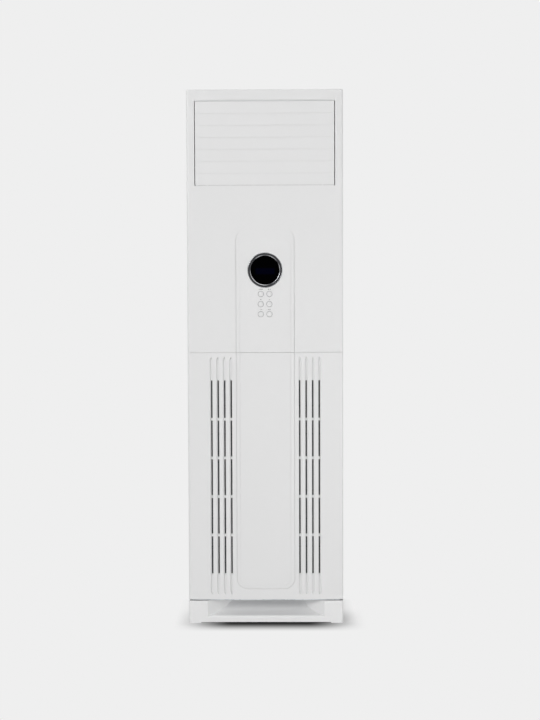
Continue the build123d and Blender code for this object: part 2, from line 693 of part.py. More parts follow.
def filter_rails():
    """Two guides and a stop for the right-hand filter."""
    near = FILTER_X - FILTER_HALF - EASE
    far = FILTER_X + FILTER_HALF + EASE
    back = FILTER_BACK + EASE
    low = FILTER_BOTTOM - EASE - RAIL_WALL
    rails = block(near - RAIL_WALL, near, SKIN_Y, back + RAIL_WALL, low, FILTER_TOP)
    rails += block(near - RAIL_WALL, near + RAIL_LIP, back, back + RAIL_WALL, low, FILTER_TOP)
    rails += block(far, far + RAIL_WALL, SKIN_Y, back + RAIL_WALL, low, FILTER_TOP)
    rails += block(far - RAIL_LIP, far + RAIL_WALL, back, back + RAIL_WALL, low, FILTER_TOP)
    rails += block(near - RAIL_WALL, far + RAIL_WALL, SKIN_Y, back + RAIL_WALL, low, low + RAIL_WALL)
    return rails


def intake_panel():
    """Lower panel with the intake slots. It tilts forward on two pins at its foot.

    The heels of its sides are rounded about the pins, so they clear the casing as it tilts.
    """
    panel = front_shell(CASE_BOTTOM, INTAKE_TOP, INTAKE_TOP)
    panel += centre_strip(STRIP_BOTTOM, INTAKE_TOP)
    for line in strip_lines():
        panel -= line
    slots = block(SLOT_FIRST - SLOT_HALF, SLOT_LAST + SLOT_HALF, SKIN_Y, SLOT_BACK,
                  GROOVE_BOTTOM - SLOT_RIB, GROOVE_TOP + SLOT_RIB)
    edge = HINGE_X + HINGE_EAR / 2 + EASE
    boss = rod_x(edge, edge + 2 * HINGE_EYE_R, HINGE_Y, HINGE_Z, HINGE_EYE_R)
    boss += block(edge, edge + 2 * HINGE_EYE_R, SKIN_Y, HINGE_Y, HINGE_Z - HINGE_EYE_R,
                  HINGE_Z + HINGE_EYE_R)
    boss += rod_x(HINGE_X - HINGE_EAR, edge, HINGE_Y, HINGE_Z, HINGE_R)
    swing = PANEL_BACK_Y - HINGE_Y
    heel = block(HALF_W - SHELL, HALF_W, HINGE_Y, PANEL_BACK_Y, CASE_BOTTOM, HINGE_Z)
    heel -= rod_x(HALF_W - SHELL, HALF_W, HINGE_Y, HINGE_Z, swing)
    panel -= heel
    panel -= other_side(heel)
    right = slots + filter_rails() + boss
    panel += right
    panel += other_side(right)
    for cut in slot_cuts():
        panel -= cut
        panel -= other_side(cut)
    return panel


def air_filter():
    """Right-hand filter: a ribbed frame with its net and a pull tab."""
    left, right = FILTER_X - FILTER_HALF, FILTER_X + FILTER_HALF
    frame = block(left, right, FILTER_FRONT, FILTER_BACK, FILTER_BOTTOM, FILTER_TOP)
    frame -= block(left + FILTER_EDGE, right - FILTER_EDGE, FILTER_FRONT, FILTER_BACK,
                   FILTER_BOTTOM + FILTER_EDGE, FILTER_TOP - FILTER_EDGE)
    rib = FILTER_EDGE / 4
    frame += block(FILTER_X - rib, FILTER_X + rib, FILTER_FRONT, FILTER_BACK,
                   FILTER_BOTTOM + FILTER_EDGE, FILTER_TOP - FILTER_EDGE)
    pitch = FILTER_HEIGHT / (FILTER_BARS + 1)
    for i in range(FILTER_BARS):
        z = FILTER_BOTTOM + (i + 1) * pitch
        frame += block(left + FILTER_EDGE, right - FILTER_EDGE, FILTER_FRONT, FILTER_BACK,
                       z - rib, z + rib)
    middle = (FILTER_FRONT + FILTER_BACK) / 2
    frame += block(left + rib, right - rib, middle - FILTER_MESH / 2, middle + FILTER_MESH / 2,
                   FILTER_BOTTOM + rib, FILTER_TOP - rib)
    tab = 2 * FILTER_EDGE
    return frame + block(FILTER_X - tab, FILTER_X + tab, middle - rib, middle + rib,
                         FILTER_TOP - rib, FILTER_TOP + FILTER_EDGE)


# ---- Display and buttons -----------------------------------------------------------
LENS_R = RING_R - RING_WALL
SPIGOT_R = LENS_R + SHELL + 1.5
LENS_BACK = STRIP_Y + SHEET
BUTTON_R = BUTTON_HOLE_R - BUTTON_GAP
BUTTON_BACK = SKIN_Y + EASE + BUTTON_FLANGE_THICK
SWITCH_TIP = BUTTON_BACK + BUTTON_TRAVEL + EASE
BOARD_FRONT = SWITCH_TIP + SWITCH_HEIGHT
HOUSING_BOTTOM = LOWEST_BUTTON - HOUSING_MARGIN
HOUSING_TOP = DISPLAY_Z + RING_R + HOUSING_MARGIN / 2


def display_ring():
    """Bright ring round the display, with a spigot through the panel."""
    ring = rod_y(0, RING_Y, STRIP_Y, DISPLAY_Z, RING_R)
    ring += rod_y(0, STRIP_Y, SKIN_Y + TOP_WALL, DISPLAY_Z, SPIGOT_R)
    ring -= rod_y(0, RING_Y, LENS_BACK, DISPLAY_Z, LENS_R + EASE)
    ring -= rod_y(0, LENS_BACK, SKIN_Y + TOP_WALL, DISPLAY_Z, LENS_R - SHELL)
    front = ring.edges().filter_by(GeomType.CIRCLE).group_by(Axis.Y)[0].sort_by(SortBy.RADIUS)
    ring = fillet(front[-1], (RING_PROUD - STRIP_RISE) * 0.8)
    front = ring.edges().filter_by(GeomType.CIRCLE).group_by(Axis.Y)[0].sort_by(SortBy.RADIUS)
    return fillet(front[0], (RING_PROUD - STRIP_RISE) * 0.5)


def display_lens():
    """Dark round window seated in the ring."""
    lens = rod_y(0, LENS_BACK - LENS_THICK, LENS_BACK, DISPLAY_Z, LENS_R)
    return fillet(lens.edges().filter_by(GeomType.CIRCLE).sort_by(Axis.Y)[0], LENS_THICK / 4)


def display_housing():
    """Open box behind the display with four posts for its board."""
    back = SKIN_Y + HOUSING_DEPTH
    box = block(-HOUSING_HALF, HOUSING_HALF, SKIN_Y, back, HOUSING_BOTTOM, HOUSING_TOP)
    box -= block(-HOUSING_HALF + HOUSING_WALL, HOUSING_HALF - HOUSING_WALL, SKIN_Y,
                 back - HOUSING_WALL, HOUSING_BOTTOM + HOUSING_WALL, HOUSING_TOP - HOUSING_WALL)
    for x in (-HOUSING_HALF + HOUSING_MARGIN, HOUSING_HALF - HOUSING_MARGIN):
        for z in (HOUSING_BOTTOM + HOUSING_MARGIN, HOUSING_TOP - HOUSING_MARGIN):
            box += rod_y(x, BOARD_FRONT + BOARD_THICK, back - HOUSING_WALL, z, 2 * HOUSING_WALL)
    return box


def display_board():
    """Circuit board with the display module and a switch behind each button."""
    half = HOUSING_HALF - HOUSING_WALL - EASE
    board = block(-half, half, BOARD_FRONT, BOARD_FRONT + BOARD_THICK,
                  HOUSING_BOTTOM + HOUSING_WALL + EASE, HOUSING_TOP - HOUSING_WALL - EASE)
    board += block(-MODULE_HALF, MODULE_HALF, SKIN_Y, BOARD_FRONT,
                   DISPLAY_Z - MODULE_HALF / 2, DISPLAY_Z + MODULE_HALF / 2)
    body = SWITCH_HALF
    for x, z in button_places():
        board += block(x - body, x + body, BOARD_FRONT - body, BOARD_FRONT, z - body, z + body)
        board += rod_y(x, SWITCH_TIP, BOARD_FRONT - body, z, body / 2)
    return board


def button(x, z):
    """Round push button with a flange behind the panel."""
    front = STRIP_Y - BUTTON_PROUD
    cap = rod_y(x, front, SKIN_Y + EASE, z, BUTTON_R)
    cap = fillet(cap.edges().filter_by(GeomType.CIRCLE).sort_by(Axis.Y)[0], BUTTON_PROUD)
    return cap + rod_y(x, SKIN_Y + EASE, BUTTON_BACK, z, BUTTON_R + BUTTON_FLANGE)


# ---- Air outlet: duct, louvers and vanes --------------------------------------------
VANE_PITCH = 2 * (OUTLET_HALF - VANE_MARGIN) / VANE_COUNT
DUCT_HALF = OUTLET_HALF + DUCT_WALL
DUCT_BOTTOM = OUTLET_BOTTOM - DUCT_WALL
DUCT_TOP = OUTLET_TOP + DUCT_WALL
LOUVER_FACE_Y = FACE_Y + LOUVER_SET_BACK
LOUVER_Y = LOUVER_FACE_Y + LOUVER_AXIS
LOUVER_HALF = OUTLET_HALF - LOUVER_END_GAP
LOUVER_TOP = OUTLET_TOP - RAIL_DROP - LOUVER_TOP_GAP
LOUVER_PITCH = (LOUVER_TOP - OUTLET_BOTTOM - LOUVER_BOTTOM_GAP) / LOUVER_COUNT
CRANK_X = -DUCT_HALF - 4 * EASE              # inner face of the cranks
LINK_X = CRANK_X - CRANK_THICK - EASE        # inner face of the louver link
CRANK_Y = LOUVER_Y + CRANK_RADIUS


def louver_z(number):
    """Height of a louver's axis; number 1 is the top one."""
    return LOUVER_TOP - (number - 0.5) * LOUVER_PITCH


def vane_x(number):
    """Place of a vane's axis; number 1 is the left one."""
    return (number - (VANE_COUNT + 1) / 2) * VANE_PITCH


def outlet_frame():
    """Duct behind the outlet with the bearings of the louvers and the vanes."""
    frame = block(-DUCT_HALF, DUCT_HALF, SKIN_Y, DUCT_BACK, DUCT_BOTTOM, DUCT_TOP)
    frame += block(-DUCT_HALF, DUCT_HALF, SKIN_Y, SKIN_Y + DUCT_FLANGE_THICK,
                   DUCT_BOTTOM - DUCT_FLANGE, DUCT_TOP + DUCT_FLANGE)
    frame -= block(-OUTLET_HALF, OUTLET_HALF, SKIN_Y, DUCT_BACK, OUTLET_BOTTOM, OUTLET_TOP)
    rail = block(-OUTLET_HALF, OUTLET_HALF, LOUVER_FACE_Y, SKIN_Y, OUTLET_TOP - RAIL_DROP, OUTLET_TOP)
    frame += rail & outline_y(outlet_mouth(EASE), LOUVER_FACE_Y, SKIN_Y)
    frame += block(-OUTLET_HALF, OUTLET_HALF, SKIN_Y, SKIN_Y + DUCT_FLANGE_THICK,
                   OUTLET_TOP - RAIL_DROP, OUTLET_TOP)
    reach = CASE_INNER - DUCT_WALL
    for low in (DUCT_BOTTOM, DUCT_TOP - DUCT_EAR):
        for side in (-1, 1):
            frame += block(side * DUCT_HALF, side * reach, CASE_FRONT_Y - DUCT_WALL, CASE_FRONT_Y,
                           low, low + DUCT_EAR)
    for i in range(1, LOUVER_COUNT + 1):
        for side in (-1, 1):
            frame -= rod_x(side * OUTLET_HALF, side * DUCT_HALF, LOUVER_Y, louver_z(i),
                           LOUVER_PIN_R + LOUVER_FIT)
    for i in range(1, VANE_COUNT + 1):
        frame -= rod_z(vane_x(i), VANE_Y, DUCT_BOTTOM, OUTLET_BOTTOM, VANE_PIN_R + LOUVER_FIT)
        frame -= rod_z(vane_x(i), VANE_Y, OUTLET_TOP, DUCT_TOP, VANE_PIN_R + LOUVER_FIT)
    return frame


def louver(number):
    """One horizontal louver with its pins, and its crank beside the duct."""
    z = louver_z(number)
    half = (LOUVER_PITCH - LOUVER_GAP) / 2
    front, thin, thick = LOUVER_FACE_Y, LOUVER_FACE_Y + LOUVER_EDGE, LOUVER_FACE_Y + LOUVER_THICK
    section = Polyline((front, z - half), (front, z + half), (thin, z + half), (thick, z + half / 4),
                       (thick, z - half / 4), (thin, z - half), close=True)
    blade = outline_x(make_face(section), -LOUVER_HALF, LOUVER_HALF)
    hub = LOUVER_PIN_R + SHEET
    for side in (-1, 1):
        inner = side * (LOUVER_HALF - 2 * SHELL)
        blade += rod_x(inner, side * LOUVER_HALF, LOUVER_Y, z, hub)
        blade += block(inner, side * LOUVER_HALF, thin, LOUVER_Y, z - hub, z + hub)
    blade += rod_x(CRANK_X, -LOUVER_HALF, LOUVER_Y, z, LOUVER_PIN_R)
    reach = DUCT_HALF + (CRANK_THICK if number == LOUVER_DRIVEN else EASE)
    blade += rod_x(LOUVER_HALF, reach, LOUVER_Y, z, LOUVER_PIN_R)
    outer = CRANK_X - CRANK_THICK
    crank = rod_x(outer, CRANK_X, LOUVER_Y, z, CRANK_EYE)
    crank += rod_x(outer, CRANK_X, CRANK_Y, z, CRANK_EYE)
    crank += block(outer, CRANK_X, LOUVER_Y, CRANK_Y, z - CRANK_EYE * 0.7, z + CRANK_EYE * 0.7)
    crank += rod_x(LINK_X - LINK_THICK - EASE, outer, CRANK_Y, z, CRANK_PIN_R)
    return blade, crank


def louver_link():
    """Upright strip that turns all louvers together."""
    strip = block(LINK_X - LINK_THICK, LINK_X, CRANK_Y - LINK_HALF, CRANK_Y + LINK_HALF,
                  louver_z(LOUVER_COUNT) - LINK_HALF, louver_z(1) + LINK_HALF)
    for i in range(1, LOUVER_COUNT + 1):
        strip -= rod_x(LINK_X - LINK_THICK, LINK_X, CRANK_Y, louver_z(i), CRANK_PIN_R + LOUVER_FIT)
    return strip


def stepper(shaft_r, socket):
    """A flat step motor standing up on its face, its shaft socket at the origin."""
    body = Pos(0, STEPPER_OFFSET, STEPPER_LENGTH / 2) * Cylinder(STEPPER_R, STEPPER_LENGTH)
    lug = STEPPER_R + 2 * SHELL
    body += block(-lug, lug, STEPPER_OFFSET - SHELL, STEPPER_OFFSET + SHELL, 0, SHEET)
    body += Pos(0, 0, socket / 2) * Cylinder(shaft_r + DUCT_WALL / 2, socket)
    return body - Pos(0, 0, socket / 2) * Cylinder(shaft_r + LOUVER_FIT, socket)


def louver_motor():
    """Step motor on the duct's right wall, on the driven louver's pin."""
    turned = Rot(0, 90, 0) * stepper(LOUVER_PIN_R, CRANK_THICK + EASE)
    return Pos(DUCT_HALF, LOUVER_Y, louver_z(LOUVER_DRIVEN)) * turned


def vane(number):
    """One upright vane with its pins, and a link pin across a notch in its rear edge."""
    x = vane_x(number)
    low, high = OUTLET_BOTTOM + VANE_END_GAP, OUTLET_TOP - VANE_END_GAP
    middle = (low + high) / 2
    back = VANE_Y + VANE_CHORD / 2
    blade = block(x - VANE_THICK / 2, x + VANE_THICK / 2, VANE_Y - VANE_CHORD / 2, back, low, high)
    link_y = VANE_Y + VANE_CRANK
    blade -= block(x - VANE_THICK / 2, x + VANE_THICK / 2, link_y - VANE_NOTCH * 0.7, back,
                   middle - VANE_NOTCH / 2, middle + VANE_NOTCH / 2)
    blade += rod_z(x, link_y, middle - VANE_NOTCH, middle + VANE_NOTCH, CRANK_PIN_R)
    foot = DUCT_BOTTOM - (CRANK_THICK if number == VANE_DRIVEN else EASE)
    blade += rod_z(x, VANE_Y, foot, low + VANE_NOTCH, VANE_PIN_R)
    blade += rod_z(x, VANE_Y, high - VANE_NOTCH, DUCT_TOP + EASE, VANE_PIN_R)
    return blade


def vane_link():
    """Flat strip across the back of the duct that turns all vanes together."""
    y = VANE_Y + VANE_CRANK
    z = (OUTLET_BOTTOM + OUTLET_TOP) / 2
    strip = block(vane_x(1) - 2 * CRANK_EYE, vane_x(VANE_COUNT) + 2 * CRANK_EYE, y - LINK_HALF,
                  y + LINK_HALF, z - VANE_LINK_THICK / 2, z + VANE_LINK_THICK / 2)
    for i in range(1, VANE_COUNT + 1):
        strip -= rod_z(vane_x(i), y, z - VANE_LINK_THICK / 2, z + VANE_LINK_THICK / 2,
                       CRANK_PIN_R + LOUVER_FIT)
    return strip


def vane_motor():
    """Step motor under the duct, on the driven vane's pin."""
    turned = Rot(180, 0, 180) * stepper(VANE_PIN_R, CRANK_THICK + EASE)
    return Pos(vane_x(VANE_DRIVEN), VANE_Y, DUCT_BOTTOM) * turned


# ---- Fan ---------------------------------------------------------------------------
FAN_BACK = FAN_FRONT + FAN_WIDTH
HUB_FRONT = FAN_BACK - HUB_LENGTH
MOTOR_FRONT = SCROLL_BACK + MOUNT_PLATE
MOTOR_BACK = MOTOR_FRONT + MOTOR_LENGTH
SHAFT_HOLE_R = 2 * SHAFT_R
GAS_X = -(HALF_W - GAS_SIDE)
LIQUID_X = -(HALF_W - LIQUID_SIDE)
HOSE_X = -(HALF_W - HOSE_SIDE)


def fan_bulkhead():
    """Partition in front of the fan, with a rounded air inlet drawn from the sheet."""
    front = BULKHEAD_Y - SHEET
    roll = 8 * SHEET
    sheet = block(-CASE_INNER, CASE_INNER, front, BULKHEAD_Y, FLOOR_Z, BULKHEAD_TOP)
    sheet -= rod_y(0, front, BULKHEAD_Y, FAN_Z, INLET_R + roll)
    lip = FAN_FRONT + FAN_PLATE
    turn = sin(pi / 4)
    outer = [(INLET_R + roll, front), (INLET_R + roll * (1 - turn), front + roll * (1 - turn)),
             (INLET_R, front + roll)]
    thin = roll - SHEET
    inner = [(INLET_R + SHEET, front + roll),
             (INLET_R + roll - thin * turn, front + roll - thin * turn), (INLET_R + roll, BULKHEAD_Y)]
    edges = [ThreePointArc(*outer), Line(outer[2], (INLET_R, lip)),
             Line((INLET_R, lip), (INLET_R + SHEET, lip)), Line((INLET_R + SHEET, lip), inner[0]),
             ThreePointArc(*inner), Line(inner[2], outer[0])]
    bell = revolve(make_face(edges), Axis.Y)
    return sheet + Pos(0, 0, FAN_Z) * bell


def fan_blade():
    """One curved blade between the fan's two rings, drawn at the fan's middle."""
    turn = radians(BLADE_LEAN)
    root = Vector(FAN_INNER_R, 0)
    tip = Vector(FAN_R * cos(turn) - SHEET, FAN_R * sin(turn) - SHEET)
    belly = (root + tip) * 0.5 + Vector(FAN_PLATE, -FAN_PLATE)
    thick = Vector(0, SHEET)
    edges = [ThreePointArc(root, belly, tip), Line(tip, tip - thick),
             ThreePointArc(tip - thick, belly - thick, root - thick), Line(root - thick, root)]
    blade = extrude(Plane.XZ * make_face(edges), -FAN_WIDTH + FAN_PLATE)
    return Pos(0, FAN_FRONT + FAN_PLATE / 2, 0) * blade


def fan_wheel():
    """Centrifugal fan wheel: back plate, hub, front ring and curved blades."""
    wheel = rod_y(0, FAN_BACK - FAN_PLATE, FAN_BACK, 0, FAN_R)
    wheel += rod_y(0, HUB_FRONT, FAN_BACK, 0, HUB_R)
    wheel += (rod_y(0, FAN_FRONT, FAN_FRONT + FAN_PLATE, 0, FAN_R)
              - rod_y(0, FAN_FRONT, FAN_FRONT + FAN_PLATE, 0, FAN_INNER_R - FAN_PLATE))
    blade = fan_blade()
    wheel += [Rot(0, i * 360 / FAN_BLADES, 0) * blade for i in range(FAN_BLADES)]
    wheel -= rod_y(0, HUB_FRONT, FAN_BACK, 0, SHAFT_R + SHAFT_FIT)
    return Pos(0, 0, FAN_Z) * wheel


def motor_shaft():
    """Steel shaft through the motor into the wheel's hub, with its end nut."""
    shaft = rod_y(0, HUB_FRONT - SHAFT_R, MOTOR_BACK + SHAFT_R / 2, FAN_Z, SHAFT_R)
    nut = extrude(Plane.XZ.offset(-HUB_FRONT) * Pos(0, FAN_Z) * RegularPolygon(SHAFT_NUT_R, 6),
                  SHAFT_NUT)
    return shaft + nut


def scroll_outline():
    """Inner outline of the spiral casing with its throat up to the deck."""
    start = radians(SCROLL_TONGUE_ANGLE)
    sweep = 2 * pi - start
    growth = SCROLL_END_R - SCROLL_TONGUE_R

    def at(share):
        radius = SCROLL_TONGUE_R + growth * share
        angle = start + sweep * share
        return (radius * cos(angle), FAN_Z + radius * sin(angle))

    spiral = [ThreePointArc(at(i / 4), at((i + 0.5) / 4), at((i + 1) / 4)) for i in range(4)]
    tongue = at(0)
    corners = [Line(at(1), (SCROLL_END_R, DECK_Z)), Line((SCROLL_END_R, DECK_Z), (THROAT_LEFT, DECK_Z)),
               Line((THROAT_LEFT, DECK_Z), tongue)]
    return make_face(spiral + corners)


def fan_scroll():
    """Spiral casing of the fan, with the deck that carries its throat."""
    inner = scroll_outline()
    outer = offset(inner, SCROLL_WALL)
    scroll = outline_y(outer, BULKHEAD_Y, SCROLL_BACK)
    deck = block(-CASE_INNER, CASE_INNER, BULKHEAD_Y, REAR_INNER_Y, DECK_Z, DECK_Z + SCROLL_WALL)
    scroll &= block(-HALF_W, HALF_W, BULKHEAD_Y, SCROLL_BACK, FLOOR_Z, DECK_Z)
    scroll += deck
    scroll -= outline_y(inner, BULKHEAD_Y, SCROLL_BACK - SCROLL_WALL)
    scroll -= block(THROAT_LEFT, SCROLL_END_R, BULKHEAD_Y, SCROLL_BACK - SCROLL_WALL, DECK_Z,
                    DECK_Z + SCROLL_WALL)
    scroll -= rod_y(0, SCROLL_BACK - SCROLL_WALL, SCROLL_BACK, FAN_Z, SHAFT_HOLE_R)
    pipes = (GAS_X, GAS_Y, GAS_R), (LIQUID_X, LIQUID_Y, LIQUID_R), (HOSE_X, HOSE_Y, HOSE_R)
    for x, y, radius in pipes:
        scroll -= rod_z(x, y, DECK_Z, DECK_Z + SCROLL_WALL, radius + 2 * EASE)
    return scroll


def motor_bracket():
    """Round mounting plate between the scroll and the motor."""
    plate = rod_y(0, SCROLL_BACK, MOTOR_FRONT, FAN_Z, MOTOR_R + 4 * SHELL)
    plate -= rod_y(0, SCROLL_BACK, MOTOR_FRONT, FAN_Z, SHAFT_HOLE_R)
    hole_ring = MOTOR_R + 2 * SHELL
    for i in range(4):
        angle = pi / 4 + i * pi / 2
        plate -= rod_y(hole_ring * cos(angle), SCROLL_BACK, MOTOR_FRONT,
                       FAN_Z + hole_ring * sin(angle), SCREW_R + EASE)
    return plate


def fan_motor():
    """Fan motor with two stepped end caps, bored for its shaft."""
    motor = rod_y(0, MOTOR_FRONT, MOTOR_BACK, FAN_Z, MOTOR_NECK_R)
    motor += rod_y(0, MOTOR_FRONT + MOTOR_CAP, MOTOR_BACK - MOTOR_CAP, FAN_Z, MOTOR_R)
    motor += rod_y(0, MOTOR_FRONT, MOTOR_FRONT + MOTOR_CAP / 2, FAN_Z, MOTOR_R)
    return motor - rod_y(0, MOTOR_FRONT, MOTOR_BACK, FAN_Z, SHAFT_R + SHAFT_FIT)


# ---- Evaporator --------------------------------------------------------------------
COIL_HALF = CASE_INNER - COIL_SIDE
COIL_FOOT_Z = BULKHEAD_TOP + COIL_RISE
COIL_HEAD_Z = OUTLET_BOTTOM - COIL_DROP
COIL_LENGTH = hypot(COIL_HEAD_Y - COIL_FOOT_Y, COIL_HEAD_Z - COIL_FOOT_Z)
COIL_LEAN = atan2(COIL_HEAD_Y - COIL_FOOT_Y, COIL_HEAD_Z - COIL_FOOT_Z)
COIL_MIDDLE = ((COIL_FOOT_Y + COIL_HEAD_Y) / 2, (COIL_FOOT_Z + COIL_HEAD_Z) / 2)
RUN_PITCH = COIL_LENGTH / COIL_RUNS
RUN_END = COIL_HALF + TUBE_SHEET + COIL_END


def lean(shape):
    """Lay a shape drawn upright at the origin into the leaning coil's place."""
    return Pos(0, *COIL_MIDDLE) * Rot(-degrees(COIL_LEAN), 0, 0) * shape


def coil_point(x, across, along):
    """A point of the leaning coil from its own coordinates."""
    y = COIL_MIDDLE[0] + across * cos(COIL_LEAN) + along * sin(COIL_LEAN)
    z = COIL_MIDDLE[1] - across * sin(COIL_LEAN) + along * cos(COIL_LEAN)
    return (x, y, z)


def run_height(run):
    """Place of a tube run along the coil, number 0 at the foot."""
    return (run + 0.5) * RUN_PITCH - COIL_LENGTH / 2


def tube_holes(left, right):
    """Clearance holes for both rows of tubes."""
    return [rod_x(left, right, row, run_height(run), COIL_TUBE_R + COIL_TUBE_GAP)
            for row in (-COIL_ROW_PITCH / 2, COIL_ROW_PITCH / 2) for run in range(COIL_RUNS)]


def evaporator_fins():
    """The coil's pack of fins, as one block bored for its tubes."""
    pack = block(-COIL_HALF, COIL_HALF, -COIL_THICK / 2, COIL_THICK / 2,
                 -COIL_LENGTH / 2, COIL_LENGTH / 2)
    return lean(pack - tube_holes(-COIL_HALF, COIL_HALF))


def tube_sheets():
    """End plates of the coil, each with a baffle out to the side panel."""
    outer = COIL_HALF + TUBE_SHEET
    half = COIL_THICK / 2
    plate = block(COIL_HALF, outer, -half, half, -COIL_LENGTH / 2, COIL_LENGTH / 2)
    plate -= tube_holes(COIL_HALF, outer)
    plate += block(COIL_HALF, CASE_INNER, -half, -half + SHEET, -COIL_LENGTH / 2, COIL_LENGTH / 2)
    plate = lean(plate)
    return plate, other_side(plate)


def tube(path, radius, bore=0.0):
    """A round tube along a path, solid where it has no bore."""
    start = Plane(origin=path @ 0, z_dir=path % 0)
    section = start * Circle(radius)
    if bore:
        section -= start * Circle(bore)
    return sweep(section, path=path)


def coil_tubes():
    """Two rows of hairpin tubes, joined at the head by a return bend."""
    bend = RUN_PITCH / 2
    solids = []
    for row in (-COIL_ROW_PITCH / 2, COIL_ROW_PITCH / 2):
        edges = []
        for run in range(COIL_RUNS):
            side = 1 if run % 2 == 0 else -1
            z = run_height(run)
            edges.append(Line((-side * RUN_END, row, z), (side * RUN_END, row, z)))
            if run < COIL_RUNS - 1:
                edges.append(ThreePointArc((side * RUN_END, row, z),
                                           (side * (RUN_END + bend), row, z + bend),
                                           (side * RUN_END, row, z + RUN_PITCH)))
        solids.append(lean(tube(Wire(edges), COIL_TUBE_R)))
    head = run_height(COIL_RUNS - 1)
    half = COIL_ROW_PITCH / 2
    turn = ThreePointArc((-RUN_END, -half, head), (-RUN_END - half, 0, head), (-RUN_END, half, head))
    solids.append(lean(tube(Wire([turn]), COIL_TUBE_R)))
    return solids


def refrigerant_pipes():
    """Liquid and gas pipes from the coil's foot down to the flare nuts."""
    foot = run_height(0)
    gas_start = coil_point(-RUN_END, COIL_ROW_PITCH / 2, foot)
    liquid_start = coil_point(-RUN_END, -COIL_ROW_PITCH / 2, foot)
    over = liquid_start[2] + LIQUID_RISE
    gas = FilletPolyline(gas_start, (GAS_X, gas_start[1], gas_start[2]), (GAS_X, GAS_Y, gas_start[2]),
                         (GAS_X, GAS_Y, PIPE_END_Z), radius=[1.2 * GAS_R, PIPE_BEND])
    rise_y = liquid_start[1] + PIPE_BEND
    liquid = FilletPolyline(liquid_start, (LIQUID_X, *liquid_start[1:]), (LIQUID_X, rise_y, over),
                            (LIQUID_X, LIQUID_Y, over), (LIQUID_X, LIQUID_Y, PIPE_END_Z),
                            radius=[2.5 * LIQUID_R, 2 * LIQUID_R, PIPE_BEND])
    return tube(gas, GAS_R), tube(liquid, LIQUID_R)


def flare_nut(x, y, radius):
    """Hexagonal brass nut round a pipe's lower end, with its union below."""
    top = PIPE_END_Z + 0.6 * NUT_LENGTH
    nut = outline_z(Pos(x, y) * RegularPolygon(radius + 2 * SHELL, 6), top - NUT_LENGTH, top)
    nut -= rod_z(x, y, PIPE_END_Z, top, radius + COIL_TUBE_GAP)
    stub = rod_z(x, y, top - 1.6 * NUT_LENGTH, top - NUT_LENGTH, radius + SHELL)
    return nut + stub


def flare_nuts():
    """The two flare nuts for the pipes that come in from the wall."""
    return flare_nut(GAS_X, GAS_Y, GAS_R), flare_nut(LIQUID_X, LIQUID_Y, LIQUID_R)


# ---- Drain -------------------------------------------------------------------------
HOSE_BORE = HOSE_R - HOSE_WALL


def drain_pan():
    """Trough under the coil's foot with a spout for the hose."""
    top = BULKHEAD_TOP + PAN_HEIGHT
    pan = block(-CASE_INNER, CASE_INNER, PAN_FRONT, PAN_BACK, BULKHEAD_TOP, top)
    pan -= block(-CASE_INNER + PAN_WALL, CASE_INNER - PAN_WALL, PAN_FRONT + PAN_WALL,
                 PAN_BACK - PAN_WALL, BULKHEAD_TOP + PAN_WALL, top)
    spout = HOSE_BORE - EASE
    pan += rod_z(HOSE_X, HOSE_START_Y, BULKHEAD_TOP - SPOUT_LENGTH, BULKHEAD_TOP, spout)
    return pan - rod_z(HOSE_X, HOSE_START_Y, BULKHEAD_TOP - SPOUT_LENGTH, BULKHEAD_TOP + PAN_WALL,
                       spout - HOSE_WALL)


def drain_hose():
    """Hose from the pan's spout down the back of the cabinet."""
    top = BULKHEAD_TOP - EASE
    level = top - 2 * HOSE_BEND
    drop = level - HOSE_BEND
    route = FilletPolyline((HOSE_X, HOSE_START_Y, top), (HOSE_X, HOSE_START_Y, level),
                           (HOSE_X, HOSE_Y, drop), (HOSE_X, HOSE_Y, HOSE_END_Z),
                           radius=[HOSE_BEND, HOSE_BEND])
    return tube(route, HOSE_R, HOSE_BORE)


# ---- Control box -------------------------------------------------------------------
CONTROL_HALF = HALF_W - CONTROL_SIDE
CONTROL_TOP = BULKHEAD_TOP - CONTROL_DROP
CONTROL_BOTTOM = CONTROL_TOP - CONTROL_HEIGHT
CONTROL_BACK = BULKHEAD_Y - SHEET
CONTROL_FRONT = CONTROL_BACK - CONTROL_DEPTH
CONTROL_FLOOR = CONTROL_BACK - SHEET          # inside of the box's back
MAIN_LEFT = -CONTROL_HALF + MAIN_MARGIN
MAIN_RIGHT = MAIN_LEFT + MAIN_WIDTH
MAIN_BOTTOM = CONTROL_BOTTOM + MAIN_MARGIN
MAIN_TOP = CONTROL_TOP - MAIN_MARGIN
MAIN_BACK = CONTROL_FLOOR - STANDOFF
MAIN_FRONT = MAIN_BACK - BOARD_THICK


def control_box():
    """Open steel box on the bulkhead with posts for the main board."""
    box = block(-CONTROL_HALF, CONTROL_HALF, CONTROL_FRONT, CONTROL_BACK, CONTROL_BOTTOM, CONTROL_TOP)
    box -= block(-CONTROL_HALF + SHEET, CONTROL_HALF - SHEET, CONTROL_FRONT, CONTROL_FLOOR,
                 CONTROL_BOTTOM + SHEET, CONTROL_TOP - SHEET)
    for x in (MAIN_LEFT + STANDOFF, MAIN_RIGHT - STANDOFF):
        for z in (MAIN_BOTTOM + STANDOFF, MAIN_TOP - STANDOFF):
            box += rod_y(x, MAIN_BACK, CONTROL_FLOOR, z, STANDOFF / 2)
    return box


def control_box_lid():
    """Lid of the control box with a row of vents."""
    front = CONTROL_FRONT - SHEET
    lid = block(-CONTROL_HALF, CONTROL_HALF, front, CONTROL_FRONT, CONTROL_BOTTOM, CONTROL_TOP)
    vent = SlotOverall(VENT_LENGTH, VENT_WIDTH, rotation=90)
    for i in range(VENT_COUNT):
        x = (i - (VENT_COUNT - 1) / 2) * VENT_PITCH
        lid -= outline_y(Pos(x, CONTROL_TOP - VENT_DROP) * vent, front, CONTROL_FRONT)
    return lid


